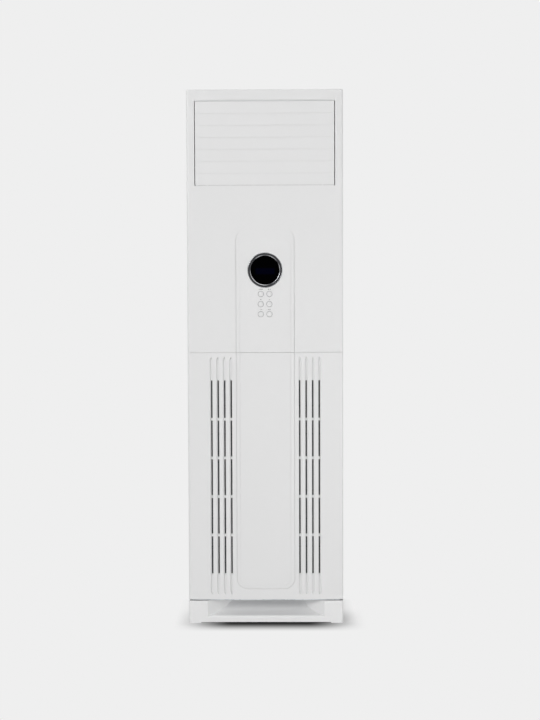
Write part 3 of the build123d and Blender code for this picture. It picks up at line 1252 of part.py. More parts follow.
def main_board():
    """Main circuit board."""
    return block(MAIN_LEFT, MAIN_RIGHT, MAIN_FRONT, MAIN_BACK, MAIN_BOTTOM, MAIN_TOP)


def on_board(x, z, size):
    """A block on the main board from its lower left corner, counted from the board's."""
    width, height, depth = size
    left, low = MAIN_LEFT + x, MAIN_BOTTOM + z
    return block(left, left + width, MAIN_FRONT - depth, MAIN_FRONT, low, low + height)


def board_components():
    """Capacitors, relays, transformer, heat sink, plugs and chips on the main board."""
    parts = []
    for i in range(CAPACITOR_COUNT):
        x = MAIN_LEFT + EDGE + CAPACITOR_R + i * CAPACITOR_PITCH
        parts.append(rod_y(x, MAIN_FRONT - CAPACITOR_DEPTH, MAIN_FRONT, MAIN_BOTTOM + EDGE + CAPACITOR_R,
                           CAPACITOR_R))
    middle_row = WINDING[1] + EDGE
    parts += [on_board(EDGE + i * RELAY_PITCH, middle_row, RELAY) for i in range(RELAY_COUNT)]
    core_x = EDGE + CAPACITOR_COUNT * CAPACITOR_PITCH + EDGE
    winding_in = (CORE[0] - WINDING[0]) / 2
    winding_up = (WINDING[1] - CORE[1]) / 2
    core = on_board(core_x, EDGE, CORE)
    parts.append(core + on_board(core_x + winding_in, EDGE - winding_up, WINDING))
    sink_x = MAIN_WIDTH - EDGE - SINK[0]
    sink = on_board(sink_x, EDGE, (SINK[0], SINK[1], SINK_BASE))
    pitch = (SINK[0] - SINK_FIN) / (SINK_FINS - 1)
    for i in range(SINK_FINS):
        sink += on_board(sink_x + i * pitch, EDGE, (SINK_FIN, SINK[1], SINK[2]))
    parts.append(sink)
    plug_row = MAIN_TOP - MAIN_BOTTOM - EDGE - PLUG[1]
    parts += [on_board(EDGE + i * PLUG_PITCH, plug_row, PLUG) for i in range(PLUG_COUNT)]
    chip_row = middle_row + RELAY[1] + EDGE
    parts += [on_board(core_x + CORE[0] + EDGE, chip_row, CHIP), on_board(core_x, chip_row, CHIP_SMALL)]
    return parts


def terminal_block():
    """Screw terminals for the mains and the outdoor unit."""
    left = MAIN_RIGHT + 2 * STANDOFF
    width = CONTROL_HALF - SHEET - STANDOFF - left
    low = CONTROL_BOTTOM + TERMINAL_RISE
    high = low + TERMINAL_HEIGHT
    front = CONTROL_FLOOR - STANDOFF
    base = block(left, left + width, front, CONTROL_FLOOR, low, high)
    for i in range(TERMINAL_WAYS + 1):
        x = left + i * (width - SHEET) / TERMINAL_WAYS
        base += block(x, x + SHEET, CONTROL_FLOOR - 3 * STANDOFF, CONTROL_FLOOR, low, high)
    screws = []
    for i in range(TERMINAL_WAYS):
        x = left + (i + 0.5) * width / TERMINAL_WAYS
        for z in (low + TERMINAL_HEIGHT / 4, high - TERMINAL_HEIGHT / 4):
            screws.append(rod_y(x, front - SCREW_HEAD, front, z, SCREW_HEAD_R))
    return [base] + screws


def plenum_liner():
    """Foam lining of the upper back and of the lid, which turns the air forward."""
    top = CASE_TOP - SHEET
    half = HALF_W - RETURN - SHEET
    back = block(-half, half, REAR_INNER_Y - LINER_THICK, REAR_INNER_Y, COIL_HEAD_Z + COIL_THICK, top)
    lid = block(-half, half, DUCT_BACK + LINER_THICK, REAR_INNER_Y, top - LINER_THICK, top)
    inner_y, inner_z = REAR_INNER_Y - LINER_THICK, top - LINER_THICK
    turn = Polyline((inner_y, inner_z - LINER_TURN), (inner_y, inner_z), (inner_y - LINER_TURN, inner_z),
                    close=True)
    liner = back + lid + outline_x(make_face(turn), -half, half)
    for x, z in rear_screw_places() + tie_screw_places():
        liner -= rod_y(x, REAR_INNER_Y - 2 * SCREW_R, REAR_INNER_Y, z, SCREW_R + 2 * EASE)
    return liner


# ---- Write every piece -------------------------------------------------------------
def build_casing():
    save("base_plinth", base_plinth())
    save("bottom_plate", bottom_plate())
    panel = side_panel()
    save("side_panel_right", panel)
    save("side_panel_left", other_side(panel))
    save("rear_panel", rear_panel())
    save("top_cover", top_cover())
    save("wall_tie", wall_tie())
    save("case_screws", *case_screws())
    save("pipe_grommet", pipe_grommet())
    save("plenum_liner", plenum_liner())


def build_front():
    save("upper_front_panel", upper_front_panel())
    save("intake_panel", intake_panel())
    right_filter = air_filter()
    save("filter_right", right_filter)
    save("filter_left", other_side(right_filter))
    save("display_ring", display_ring())
    save("display_lens", display_lens())
    save("display_housing", display_housing())
    save("display_board", display_board())
    for number, (x, z) in enumerate(button_places(), start=1):
        save(f"button_{number}", button(x, z))


def build_outlet():
    save("outlet_frame", outlet_frame())
    for number in range(1, LOUVER_COUNT + 1):
        save(f"louver_{number}", *louver(number))
    save("louver_link", louver_link())
    save("louver_motor", louver_motor())
    for number in range(1, VANE_COUNT + 1):
        save(f"vane_{number}", vane(number))
    save("vane_link", vane_link())
    save("vane_motor", vane_motor())


def build_inside():
    save("fan_bulkhead", fan_bulkhead())
    save("fan_wheel", fan_wheel())
    save("motor_shaft", motor_shaft())
    save("fan_scroll", fan_scroll())
    save("motor_bracket", motor_bracket())
    save("fan_motor", fan_motor())
    save("evaporator_fins", evaporator_fins())
    save("tube_sheets", *tube_sheets())
    save("coil_tubes", *coil_tubes())
    save("refrigerant_pipes", *refrigerant_pipes())
    save("flare_nuts", *flare_nuts())
    save("drain_pan", drain_pan())
    save("drain_hose", drain_hose())
    save("control_box", control_box())
    save("control_box_lid", control_box_lid())
    save("main_board", main_board())
    save("board_components", *board_components())
    save("terminal_block", *terminal_block())


os.makedirs("parts", exist_ok=True)
build_casing()
build_front()
build_outlet()
build_inside()
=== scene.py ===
import json
from math import cos, pi, radians, sin

import bmesh
import bpy
from mathutils import Matrix, Vector


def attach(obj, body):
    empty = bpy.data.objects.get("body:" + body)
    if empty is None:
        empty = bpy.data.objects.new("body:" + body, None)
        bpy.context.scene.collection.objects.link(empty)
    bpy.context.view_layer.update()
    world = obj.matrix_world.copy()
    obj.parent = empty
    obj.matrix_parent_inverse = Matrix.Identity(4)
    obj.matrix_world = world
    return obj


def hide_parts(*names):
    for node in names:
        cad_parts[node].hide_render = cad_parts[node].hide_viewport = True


# Floor standing air conditioner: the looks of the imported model, and a plain studio.
# Metres, watts and degrees where nothing else is said.
# X to the viewer's right, +Y to the back, +Z up.
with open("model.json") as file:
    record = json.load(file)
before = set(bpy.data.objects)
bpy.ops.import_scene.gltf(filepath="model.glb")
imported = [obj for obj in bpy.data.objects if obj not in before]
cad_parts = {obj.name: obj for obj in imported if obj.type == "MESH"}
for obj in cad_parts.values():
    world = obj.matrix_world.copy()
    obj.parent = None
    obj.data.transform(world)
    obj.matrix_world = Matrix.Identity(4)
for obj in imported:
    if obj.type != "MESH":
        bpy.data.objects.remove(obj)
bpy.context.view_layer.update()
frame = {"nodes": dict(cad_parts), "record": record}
nodes = frame["nodes"]
scene = bpy.context.scene

# ---- Camera ------------------------------------------------------------------------
CAMERA_PLACE = (0.0539, -4.2471, 1.0544)
CAMERA_LEFT = 0.539       # turned this far to the left of straight ahead
CAMERA_DOWN = 2.576       # and this far below level
CAMERA_ROLL = -0.192
LENS = 62.54              # millimetres
SENSOR_HEIGHT = 36.0      # millimetres


def photo_camera():
    """The camera, where the photograph was taken from."""
    data = bpy.data.cameras.new("photo_camera")
    data.sensor_fit = "VERTICAL"
    data.sensor_height = SENSOR_HEIGHT
    data.lens = LENS
    camera = bpy.data.objects.new("photo_camera", data)
    camera.matrix_world = (Matrix.Translation(CAMERA_PLACE)
                           @ Matrix.Rotation(radians(CAMERA_LEFT), 4, "Z")
                           @ Matrix.Rotation(radians(90 - CAMERA_DOWN), 4, "X")
                           @ Matrix.Rotation(radians(CAMERA_ROLL), 4, "Z"))
    scene.collection.objects.link(camera)
    scene.camera = camera


photo_camera()
scene.view_settings.view_transform = "Standard"


# ---- Steps that the surfaces share -----------------------------------------------------
def feed(tree, socket, value):
    """Gives a socket a plain value, or links it to an earlier step."""
    if isinstance(value, bpy.types.NodeSocket):
        tree.links.new(value, socket)
    elif socket.type == "RGBA":
        socket.default_value = (*value, 1)
    else:
        socket.default_value = value


def step(tree, kind, **inputs):
    """One shader node of a kind, with its inputs fed by name."""
    node = tree.nodes.new("ShaderNode" + kind)
    for name, value in inputs.items():
        feed(tree, node.inputs[name.replace("_", " ")], value)
    return node


def on_piece(tree, stretch=(1, 1, 1), shift=(0, 0, 0)):
    """Object coordinates of the piece in metres, stretched and shifted."""
    place = step(tree, "TexCoord").outputs["Object"]
    return step(tree, "Mapping", Vector=place, Scale=stretch, Location=shift).outputs["Vector"]


def coordinate(tree, axis):
    """One coordinate of a place on the piece."""
    return step(tree, "SeparateXYZ", Vector=on_piece(tree)).outputs[axis]


def noise(tree, where, scale, detail=2.0, roughness=0.5):
    """A noise value from 0 to 1."""
    node = step(tree, "TexNoise", Vector=where, Scale=scale, Detail=detail, Roughness=roughness)
    return node.outputs["Fac"]


def between(tree, value, low, high, at_low=0.0, at_high=1.0, eased=False):
    """A value spread from one range to another, and held at its ends."""
    node = step(tree, "MapRange", Value=value, From_Min=low, From_Max=high, To_Min=at_low, To_Max=at_high)
    node.interpolation_type = "SMOOTHSTEP" if eased else "LINEAR"
    return node.outputs["Result"]


NOISE_LOW = 0.3           # nearly all of a noise lies between these
NOISE_HIGH = 0.7


def clouds(tree, where, scale, detail=2.0, roughness=0.5, low=NOISE_LOW, high=NOISE_HIGH):
    """A noise spread out until it reaches 0 and 1."""
    return between(tree, noise(tree, where, scale, detail, roughness), low, high)


def combine(tree, operation, first, second=0.0):
    """Two values, or a value and a number, put together; some operations use only the first."""
    node = tree.nodes.new("ShaderNodeMath")
    node.operation = operation
    feed(tree, node.inputs[0], first)
    feed(tree, node.inputs[1], second)
    return node.outputs[0]


def off_centre(tree, axis, middle):
    """How far a point lies from a middle along one axis."""
    return combine(tree, "ABSOLUTE", combine(tree, "SUBTRACT", coordinate(tree, axis), middle))


def blend_shaders(tree, share, first, second):
    """Two shaders mixed: the first at a share of 0, the second at 1."""
    mix = step(tree, "MixShader", Fac=share)
    feed(tree, mix.inputs[1], first.outputs[0])
    feed(tree, mix.inputs[2], second.outputs[0])
    return mix


def as_object(name, shape, finish):
    """A finished shape as an object of the scene."""
    mesh = bpy.data.meshes.new(name)
    shape.to_mesh(mesh)
    shape.free()
    mesh.materials.append(finish)
    made = bpy.data.objects.new(name, mesh)
    scene.collection.objects.link(made)
    return made


# ---- Studio ------------------------------------------------------------------------
SOFTBOXES = (             # name, place, point it looks at, edge length, power
    ("softbox_left", (-4.2, -5.6, 4.0), (0, 0, 0.8), 2.8, 250),
    ("softbox_right", (4.2, -1.5, 1.2), (0, 0, 0.8), 2.0, 34),
    ("softbox_low", (1.5, -3.3, 0.25), (0, 0, 0.2), 0.9, 31),
    ("softbox_top", (0.0, -0.2, 4.2), (0, 0, 1.0), 2.4, 14),
    ("softbox_rear", (-0.8, 3.8, 2.2), (0, 0, 0.9), 2.4, 60),
)
BACKGROUND = 0.863        # the photograph's pale grey
ROOM_LIGHT = 0.28         # strength of the even light from all round
FLOOR_GREY = 0.80         # floor as its light falls on the object
FLOOR_HALF = 8.0          # half the floor's edge
PAINTED_POOL_SHADE = 0.97         # light that the painted shadow pool takes at its deepest
POOL_MIDDLE = 0.013       # painted shadow pool's middle across the front
POOL_ACROSS = (0.325, 0.12)       # from the middle: where the pool ends, and where it is deepest
POOL_BEFORE = (-0.268, -0.158)    # the same for its front edge
POOL_BEHIND = (0.063, -0.097)     # and for its rear edge
FOOT_HALF_WIDTH = 0.255
FOOT_HALF_DEPTH = 0.156
FOOT_REACH = 0.05         # distance at which the cabinet's own shadow has faded
FOOT_SHARE = 0.35         # how much of that shadow shows right at the foot


def softbox(name, place, aim, size, power):
    """A large square lamp that looks at a point."""
    data = bpy.data.lights.new(name, "AREA")
    data.shape = "SQUARE"
    data.size = size
    data.energy = power
    lamp = bpy.data.objects.new(name, data)
    facing = (Vector(aim) - Vector(place)).to_track_quat("-Z", "Y").to_matrix().to_4x4()
    lamp.matrix_world = Matrix.Translation(place) @ facing
    scene.collection.objects.link(lamp)


def seen_directly(tree):
    """1 where the camera, a reflection or glass looks straight at the surroundings."""
    ray = step(tree, "LightPath")
    direct = combine(tree, "MAXIMUM", ray.outputs["Is Camera Ray"], ray.outputs["Is Glossy Ray"])
    return combine(tree, "MAXIMUM", direct, ray.outputs["Is Transmission Ray"])


def studio_world():
    """Even pale surroundings, seen as the photograph's grey."""
    world = bpy.data.worlds.new("studio")
    world.use_nodes = True
    tree = world.node_tree
    tree.nodes.clear()
    light = step(tree, "Background", Color=(1.0, 1.0, 1.0), Strength=ROOM_LIGHT)
    seen = step(tree, "Background", Color=(BACKGROUND, BACKGROUND, BACKGROUND))
    both = blend_shaders(tree, seen_directly(tree), light, seen)
    step(tree, "OutputWorld", Surface=both.outputs[0])
    scene.world = world


def painted_shadow_pool(tree):
    """1 where the painted shadow pool under the cabinet's front is deepest, 0 outside it."""
    across = between(tree, off_centre(tree, "X", POOL_MIDDLE), *POOL_ACROSS, eased=True)
    depth = coordinate(tree, "Y")
    before = between(tree, depth, *POOL_BEFORE, eased=True)
    behind = between(tree, depth, *POOL_BEHIND, eased=True)
    return combine(tree, "MULTIPLY", combine(tree, "MULTIPLY", across, before), behind)


def beside_foot(tree):
    """1 at the cabinet's foot, fading to 0 at a distance from its footprint."""
    squares = []
    for axis, half in (("X", FOOT_HALF_WIDTH), ("Y", FOOT_HALF_DEPTH)):
        past = combine(tree, "MAXIMUM", combine(tree, "SUBTRACT", off_centre(tree, axis, 0.0), half), 0.0)
        squares.append(combine(tree, "MULTIPLY", past, past))
    away = combine(tree, "SQRT", combine(tree, "ADD", *squares))
    return between(tree, away, FOOT_REACH, 0.0, eased=True)


def floor_finish():
    """Pale floor: a painted pool of shadow under the front, and the cabinet's own cast shadow round its
    foot.
    """
    material = bpy.data.materials.new("studio_floor")
    material.use_nodes = True
    tree = material.node_tree
    tree.nodes.clear()
    # Painted shadow: the floor's colour darkens in a pool under the cabinet's front.
    painted_pool_light = combine(tree, "ADD", combine(tree, "MULTIPLY", painted_shadow_pool(tree), -PAINTED_POOL_SHADE), 1.0)
    grey = combine(tree, "MULTIPLY", painted_pool_light, BACKGROUND)
    shade = step(tree, "CombineColor", Red=grey, Green=grey, Blue=grey).outputs[0]
    plain = step(tree, "Emission", Color=shade)
    shadowed = step(tree, "BsdfDiffuse", Color=shade)
    near = combine(tree, "MULTIPLY", beside_foot(tree), FOOT_SHARE)
    seen = blend_shaders(tree, near, plain, shadowed)
    matt = step(tree, "BsdfDiffuse", Color=(FLOOR_GREY, FLOOR_GREY, FLOOR_GREY))
    both = blend_shaders(tree, seen_directly(tree), matt, seen)
    step(tree, "OutputMaterial", Surface=both.outputs[0])
    return material


def studio_floor():
    """The floor, wide enough for every view."""
    shape = bmesh.new()
    bmesh.ops.create_grid(shape, x_segments=1, y_segments=1, size=FLOOR_HALF)
    as_object("studio_floor", shape, floor_finish())


for lamp in SOFTBOXES:
    softbox(*lamp)
studio_world()
studio_floor()


# ---- Finishes ----------------------------------------------------------------------
WHITE = (0.762, 0.762, 0.762)
BASE_WHITE = (0.80, 0.80, 0.80)
DISPLAY_HEIGHT = 1.164    # middle of the round display
FIELD_HEIGHT = DISPLAY_HEIGHT - 0.0035    # middle of the unlit display behind the glass
FIELD_WIDE = (0.028, 0.034)       # from its middle: where it begins to fade, and where it ends
FIELD_HIGH = (0.008, 0.012)
RING_PAINTED_HIGHLIGHT = (0.0552, 0.056)       # radii between which a painted highlight brightens the ring's face to its outer edge
RING_PAINTED_GLINT = (0.0499, 0.0489)       # and between which painted glints in arcs brighten its inner lip
NET_MIDDLE = -0.1392      # middle of the filters' net layer
NET_HALF = (0.00045, 0.0006)      # from its middle: where the net begins to give way to plastic, and ends
NET_PITCH = 0.0016
WAVE_TURN = 20            # a wave texture of scale 1 turns through 20 radians in a metre


def new_finish(name, colour, roughness, metallic=0.0, **inputs):
    """A surface on the principled shader; anything the same all over is set on its sockets."""
    material = bpy.data.materials.new(name)
    material.use_nodes = True
    tree = material.node_tree
    shader = tree.nodes["Principled BSDF"]
    inputs.update(Base_Color=colour, Roughness=roughness, Metallic=metallic)
    for socket, value in inputs.items():
        feed(tree, shader.inputs[socket.replace("_", " ")], value)
    return material, tree, shader


def blend_colours(tree, value, colour_low, colour_high):
    """A colour that moves between two others with a value; either may come from another step."""
    mix = tree.nodes.new("ShaderNodeMix")
    mix.data_type = "RGBA"
    feed(tree, mix.inputs[0], value)
    feed(tree, mix.inputs[6], colour_low)
    feed(tree, mix.inputs[7], colour_high)
    return mix.outputs[2]


def tint(tree, shader, value, colour_low, colour_high):
    """Base colour that moves between two colours with a value."""
    feed(tree, shader.inputs["Base Color"], blend_colours(tree, value, colour_low, colour_high))


def gloss(tree, shader, value, at_low, at_high, low=NOISE_LOW, high=NOISE_HIGH):
    """Roughness that moves with a value."""
    feed(tree, shader.inputs["Roughness"], between(tree, value, low, high, at_low, at_high))


def relief(tree, shader, value, depth):
    """Bump of a depth in metres, on top of the bumps that are there already."""
    bump = step(tree, "Bump", Height=value, Strength=1.0, Distance=depth)
    socket = shader.inputs["Normal"]
    if socket.links:
        feed(tree, bump.inputs["Normal"], socket.links[0].from_socket)
    feed(tree, socket, bump.outputs["Normal"])


def darker(colour, share):
    """A colour turned down by a share of itself."""
    return tuple(channel * (1 - share) for channel in colour)


def moulded(name, colour, roughness, grain_scale=1400, grain=0.00002, tone=0.012, patches=0.035):
    """Moulded plastic: fine texture, slight gloss patches and faint flow tones."""
    material, tree, shader = new_finish(name, colour, roughness)
    where = on_piece(tree)
    flow = clouds(tree, on_piece(tree, stretch=(1, 1, 0.35)), scale=5.0, detail=3.0)
    tint(tree, shader, flow, darker(colour, 2 * tone), colour)
    patch = noise(tree, where, scale=45.0, detail=4.0)
    gloss(tree, shader, patch, roughness - patches, roughness + patches)
    relief(tree, shader, noise(tree, where, grain_scale, detail=3.0), depth=grain)
    return material


def front_plastic(name, roughness):
    """The smooth white plastic of the panels, louvers and buttons."""
    return moulded(name, WHITE, roughness, tone=0.002, grain=0.000001, patches=0.012)


def powder_coat():
    """White powder coat on steel: fine even orange peel."""
    material, tree, shader = new_finish("powder_coat_white", WHITE, 0.46)
    where = on_piece(tree)
    tint(tree, shader, clouds(tree, where, scale=3.0), darker(WHITE, 0.02), WHITE)
    gloss(tree, shader, noise(tree, where, scale=380.0), 0.40, 0.52)
    relief(tree, shader, noise(tree, where, scale=520.0), depth=0.00004)
    relief(tree, shader, noise(tree, where, scale=1900.0), depth=0.00001)
    return material


def galvanised():
    """Zinc sheet with its spangle."""
    material, tree, shader = new_finish("galvanised_sheet", (0.62, 0.64, 0.66), 0.38, metallic=1.0)
    where = on_piece(tree)
    spangle = step(tree, "TexVoronoi", Vector=where, Scale=75.0)
    crystal = step(tree, "SeparateColor", Color=spangle.outputs["Color"])
    tint(tree, shader, crystal.outputs["Red"], (0.50, 0.52, 0.55), (0.70, 0.72, 0.74))
    gloss(tree, shader, crystal.outputs["Green"], 0.26, 0.48, low=0.0, high=1.0)
    relief(tree, shader, noise(tree, where, scale=260.0, detail=3.0), depth=0.00003)
    return material


def drawn_metal(name, colour, roughness, stretch, lines):
    """Metal with fine lines along the way it was drawn or turned."""
    material, tree, shader = new_finish(name, colour, roughness, metallic=1.0)
    line = noise(tree, on_piece(tree, stretch), scale=lines)
    tint(tree, shader, between(tree, line, 0.35, 0.65), darker(colour, 0.15), colour)
    gloss(tree, shader, line, roughness - 0.06, roughness + 0.08)
    relief(tree, shader, line, depth=0.00001)
    return material


def copper_tube():
    """Drawn copper with darker, duller patches of oxide."""
    material, tree, shader = new_finish("copper_tube", (0.72, 0.38, 0.24), 0.28, metallic=1.0)
    where = on_piece(tree)
    oxide = clouds(tree, where, scale=38.0, detail=4.0, roughness=0.6, low=0.42, high=0.62)
    tint(tree, shader, oxide, (0.74, 0.40, 0.26), (0.46, 0.21, 0.13))
    gloss(tree, shader, oxide, 0.22, 0.46, low=0.0, high=1.0)
    relief(tree, shader, noise(tree, where, scale=900.0), depth=0.00001)
    return material


def display_glass():
    """Black glossy window; the unlit display shows as a faint dark blue field."""
    black = (0.0002, 0.0002, 0.0003)
    material, tree, shader = new_finish("display_glass", black, 0.08, Specular_IOR_Level=0.008)
    across = between(tree, off_centre(tree, "X", 0.0), *FIELD_WIDE, 1.0, 0.0)
    upright = between(tree, off_centre(tree, "Z", FIELD_HEIGHT), *FIELD_HIGH, 1.0, 0.0)
    field = combine(tree, "MULTIPLY", across, upright)
    tint(tree, shader, field, black, (0.0004, 0.0005, 0.0045))
    gloss(tree, shader, field, 0.08, 0.14, low=0.0, high=1.0)
    return material


def ring_plate():
    """Smoked plating: dark flat face, a painted highlight brightening its outer edge, and painted glints in
    arcs on its inner lip.
    """
    material, tree, shader = new_finish("smoked_ring_plating_painted_highlights", (0.12, 0.122, 0.126), 0.2, metallic=1.0)
    flat = on_piece(tree, stretch=(1, 0, 1), shift=(0, 0, -DISPLAY_HEIGHT))
    length = tree.nodes.new("ShaderNodeVectorMath")
    length.operation = "LENGTH"
    feed(tree, length.inputs[0], flat)
    away = length.outputs["Value"]
    # Painted highlight: the face's colour brightens to its outer edge.
    edge = between(tree, away, *RING_PAINTED_HIGHLIGHT)
    face = blend_colours(tree, edge, (0.055, 0.056, 0.06), (0.36, 0.364, 0.37))
    lip = between(tree, away, *RING_PAINTED_GLINT)
    # Painted glints: bright colour in broken arcs on the inner lip.
    painted_glint_arcs = clouds(tree, flat, scale=17.0, detail=1.0, low=0.44, high=0.6)
    tint(tree, shader, combine(tree, "MULTIPLY", lip, painted_glint_arcs), face, (0.80, 0.81, 0.83))
    turned = step(tree, "CombineXYZ", X=away).outputs[0]
    gloss(tree, shader, noise(tree, turned, scale=9000.0, detail=1.0), 0.14, 0.26)
    return material


def filter_net():
    """Black frame, and between its ribs the woven net of the filter."""
    material, tree, shader = new_finish("filter_black_plastic", (0.035, 0.037, 0.04), 0.55)
    where = on_piece(tree)
    layer = between(tree, off_centre(tree, "Y", NET_MIDDLE), *NET_HALF, 1.0, 0.0)
    threads = []
    for direction in ("X", "Z"):
        wave = step(tree, "TexWave", Vector=where, Scale=2 * pi / (WAVE_TURN * NET_PITCH))
        wave.bands_direction = direction
        threads.append(between(tree, wave.outputs["Fac"], 0.55, 0.8))
    thread = combine(tree, "MAXIMUM", *threads)
    woven = blend_colours(tree, thread, (0.012, 0.012, 0.013), (0.17, 0.172, 0.178))
    flow = clouds(tree, where, scale=60.0, detail=3.0)
    plain = blend_colours(tree, flow, (0.028, 0.03, 0.033), (0.04, 0.042, 0.046))
    tint(tree, shader, layer, plain, woven)
    relief(tree, shader, combine(tree, "MULTIPLY", thread, layer), depth=0.0002)
    relief(tree, shader, noise(tree, where, scale=1400.0, detail=3.0), depth=0.00002)
    return material


def circuit_board():
    """Green solder mask with copper tracks under it."""
    material, tree, shader = new_finish("circuit_board_green", (0.02, 0.16, 0.07), 0.32)
    track = step(tree, "TexVoronoi", Vector=on_piece(tree), Scale=120.0)
    track.feature = "DISTANCE_TO_EDGE"
    line = between(tree, track.outputs["Distance"], 0.04, 0.09, 1.0, 0.0)
    tint(tree, shader, line, (0.012, 0.13, 0.055), (0.035, 0.24, 0.11))
    relief(tree, shader, line, depth=0.00003)
    return material


def cell_foam():
    """Dark closed-cell foam, with painted shade darkening the middle of each cell, where its pit lies."""
    material, tree, shader = new_finish("cell_foam", (0.09, 0.09, 0.10), 0.92)
    cell = step(tree, "TexVoronoi", Vector=on_piece(tree), Scale=420.0).outputs["Distance"]
    # Painted shade: each cell is darker towards its middle, where the relief sinks.
    tint(tree, shader, between(tree, cell, 0.1, 0.6), (0.05, 0.05, 0.055), (0.12, 0.12, 0.13))
    relief(tree, shader, cell, depth=0.0004)
    return material


def ribbed_hose():
    """Grey corrugated hose: rings along its upright runs, with painted shade darkening the valleys between
    them.
    """
    material, tree, shader = new_finish("ribbed_hose", (0.33, 0.34, 0.35), 0.55)
    ring = step(tree, "TexWave", Vector=on_piece(tree), Scale=90.0)
    ring.bands_direction = "Z"
    # Painted shade: the colour darkens where the relief is lowest, in the valleys between the rings.
    tint(tree, shader, ring.outputs["Fac"], (0.24, 0.25, 0.26), (0.38, 0.39, 0.40))
    relief(tree, shader, ring.outputs["Fac"], depth=0.0006)
    return material


def black_rubber():
    """Black rubber with a dusty bloom."""
    material, tree, shader = new_finish("black_rubber", (0.03, 0.03, 0.032), 0.62)
    where = on_piece(tree)
    bloom = clouds(tree, where, scale=60.0, detail=4.0, low=0.4)
    tint(tree, shader, bloom, (0.022, 0.022, 0.024), (0.055, 0.055, 0.057))
    relief(tree, shader, noise(tree, where, scale=800.0), depth=0.00004)
    return material


def motor_enamel():
    """Black enamel over a cast and rolled housing."""
    material, tree, shader = new_finish("motor_enamel", (0.045, 0.045, 0.05), 0.36)
    where = on_piece(tree)
    flow = clouds(tree, where, scale=30.0, detail=3.0)
    tint(tree, shader, flow, (0.035, 0.035, 0.04), (0.06, 0.06, 0.066))
    gloss(tree, shader, noise(tree, where, scale=120.0, detail=3.0), 0.28, 0.46)
    relief(tree, shader, noise(tree, where, scale=300.0), depth=0.00008)
    return material


def print_and_painted_shade(name, colour):
    """Matt pad print with slightly uneven cover; the same finish carries the painted shade lines round the
    buttons.
    """
    material, tree, shader = new_finish(name, colour, 0.7)
    cover = clouds(tree, on_piece(tree), scale=1500.0, low=0.35, high=0.65)
    tint(tree, shader, cover, darker(colour, 0.2), colour)
    return material


finishes = {
    "panel_white": front_plastic("panel_white_plastic", 0.34),
    "louver_white": front_plastic("louver_white_plastic", 0.34),
    "casing_white": powder_coat(),
    "base_white": moulded("base_white_plastic", BASE_WHITE, 0.44, grain_scale=900, tone=0.004),
    "zinc_sheet": galvanised(),
    "ring_chrome": ring_plate(),
    "lens_black": display_glass(),
    "button_white": front_plastic("button_white_plastic", 0.30),
    "housing_grey": moulded("housing_grey_plastic", (0.51, 0.52, 0.53), 0.5, tone=0.04),
    "filter_black": filter_net(),
    "duct_white": moulded("duct_white_plastic", (0.70, 0.705, 0.71), 0.5, tone=0.01, grain=0.00004),
    "vane_grey": moulded("vane_grey_plastic", (0.55, 0.56, 0.57), 0.45, tone=0.02),
    "stepper_zinc": drawn_metal("stepper_zinc_can", (0.66, 0.67, 0.69), 0.30, (1, 1, 1), lines=300.0),
    "fan_grey": moulded("fan_grey_plastic", (0.37, 0.38, 0.40), 0.48, tone=0.05, grain=0.00005),
    "shaft_steel": drawn_metal("turned_steel", (0.60, 0.61, 0.62), 0.24, (1, 30, 1), lines=60.0),
    "motor_black": motor_enamel(),
    "scroll_grey": moulded("scroll_grey_plastic", (0.30, 0.31, 0.32), 0.55, tone=0.05, grain=0.00006),
    "fin_aluminium": drawn_metal("fin_aluminium", (0.76, 0.78, 0.80), 0.34, (40, 1, 1), lines=20.0),
    "tube_copper": copper_tube(),
    "nut_brass": drawn_metal("nut_brass", (0.78, 0.60, 0.27), 0.22, (1, 1, 12), lines=160.0),
    "pan_white": moulded("pan_white_plastic", (0.71, 0.715, 0.71), 0.52, grain=0.00005),
    "hose_grey": ribbed_hose(),
    "grommet_rubber": black_rubber(),
    "board_green": circuit_board(),
    "component_black": moulded("component_black_plastic", (0.032, 0.032, 0.037), 0.4, tone=0.1),
    "terminal_white": moulded("terminal_ivory_plastic", (0.63, 0.61, 0.53), 0.42, tone=0.03),
    "liner_foam": cell_foam(),
    "screw_zinc": drawn_metal("screw_zinc", (0.70, 0.71, 0.73), 0.28, (1, 1, 1), lines=900.0),
}

for subpart in frame["record"]["subparts"]:
    piece = nodes[subpart["node"]]
    piece.data.materials.clear()
    piece.data.materials.append(finishes[subpart["material_slot"]])


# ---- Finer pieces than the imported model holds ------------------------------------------
COIL_MIDDLE = Vector((0, 0.015, 1.14675))
COIL_SIZE = (0.4, 0.060, 0.493692)      # across, through and along the leaning coil
COIL_LEAN = 0.35154                     # radians that the coil's head leans to the back
FIN_PITCH = 0.002
FIN_THICK = 0.0002

BEAD_MIDDLE = 0.1518                    # just behind the rear panel's outer face
BEAD_HEIGHTS = (0.36, 0.60, 0.84, 1.08, 1.32)
BEAD_SIZE = (0.38, 0.0026, 0.014)
BEAD_ROUND = 0.00125

FAN_HEIGHT = 0.36
BOLT_RING = 0.071
BRACKET_BACK = 0.033                    # face of the motor's mounting plate
WASHER_R = 0.0052
WASHER_THICK = 0.0008
HEAD_R = 0.004
HEAD_THICK = 0.0038
HEAD_ROUND = 0.0004
HEAD_MIDDLE = BRACKET_BACK + 0.0026     # heads press a little into their washers

CAPACITOR_PLACES = (-0.158, -0.132, -0.106)
CAPACITOR_TOP = Vector((0, -0.125, 0.697))
END_R = 0.0088                          # flat end, under the four quarters between its scores
END_THICK = 0.0003
QUARTER_R = 0.0036
QUARTER_OFFSET = 0.0042
QUARTER_THICK = 0.0006
QUARTER_ROUND = 0.0002

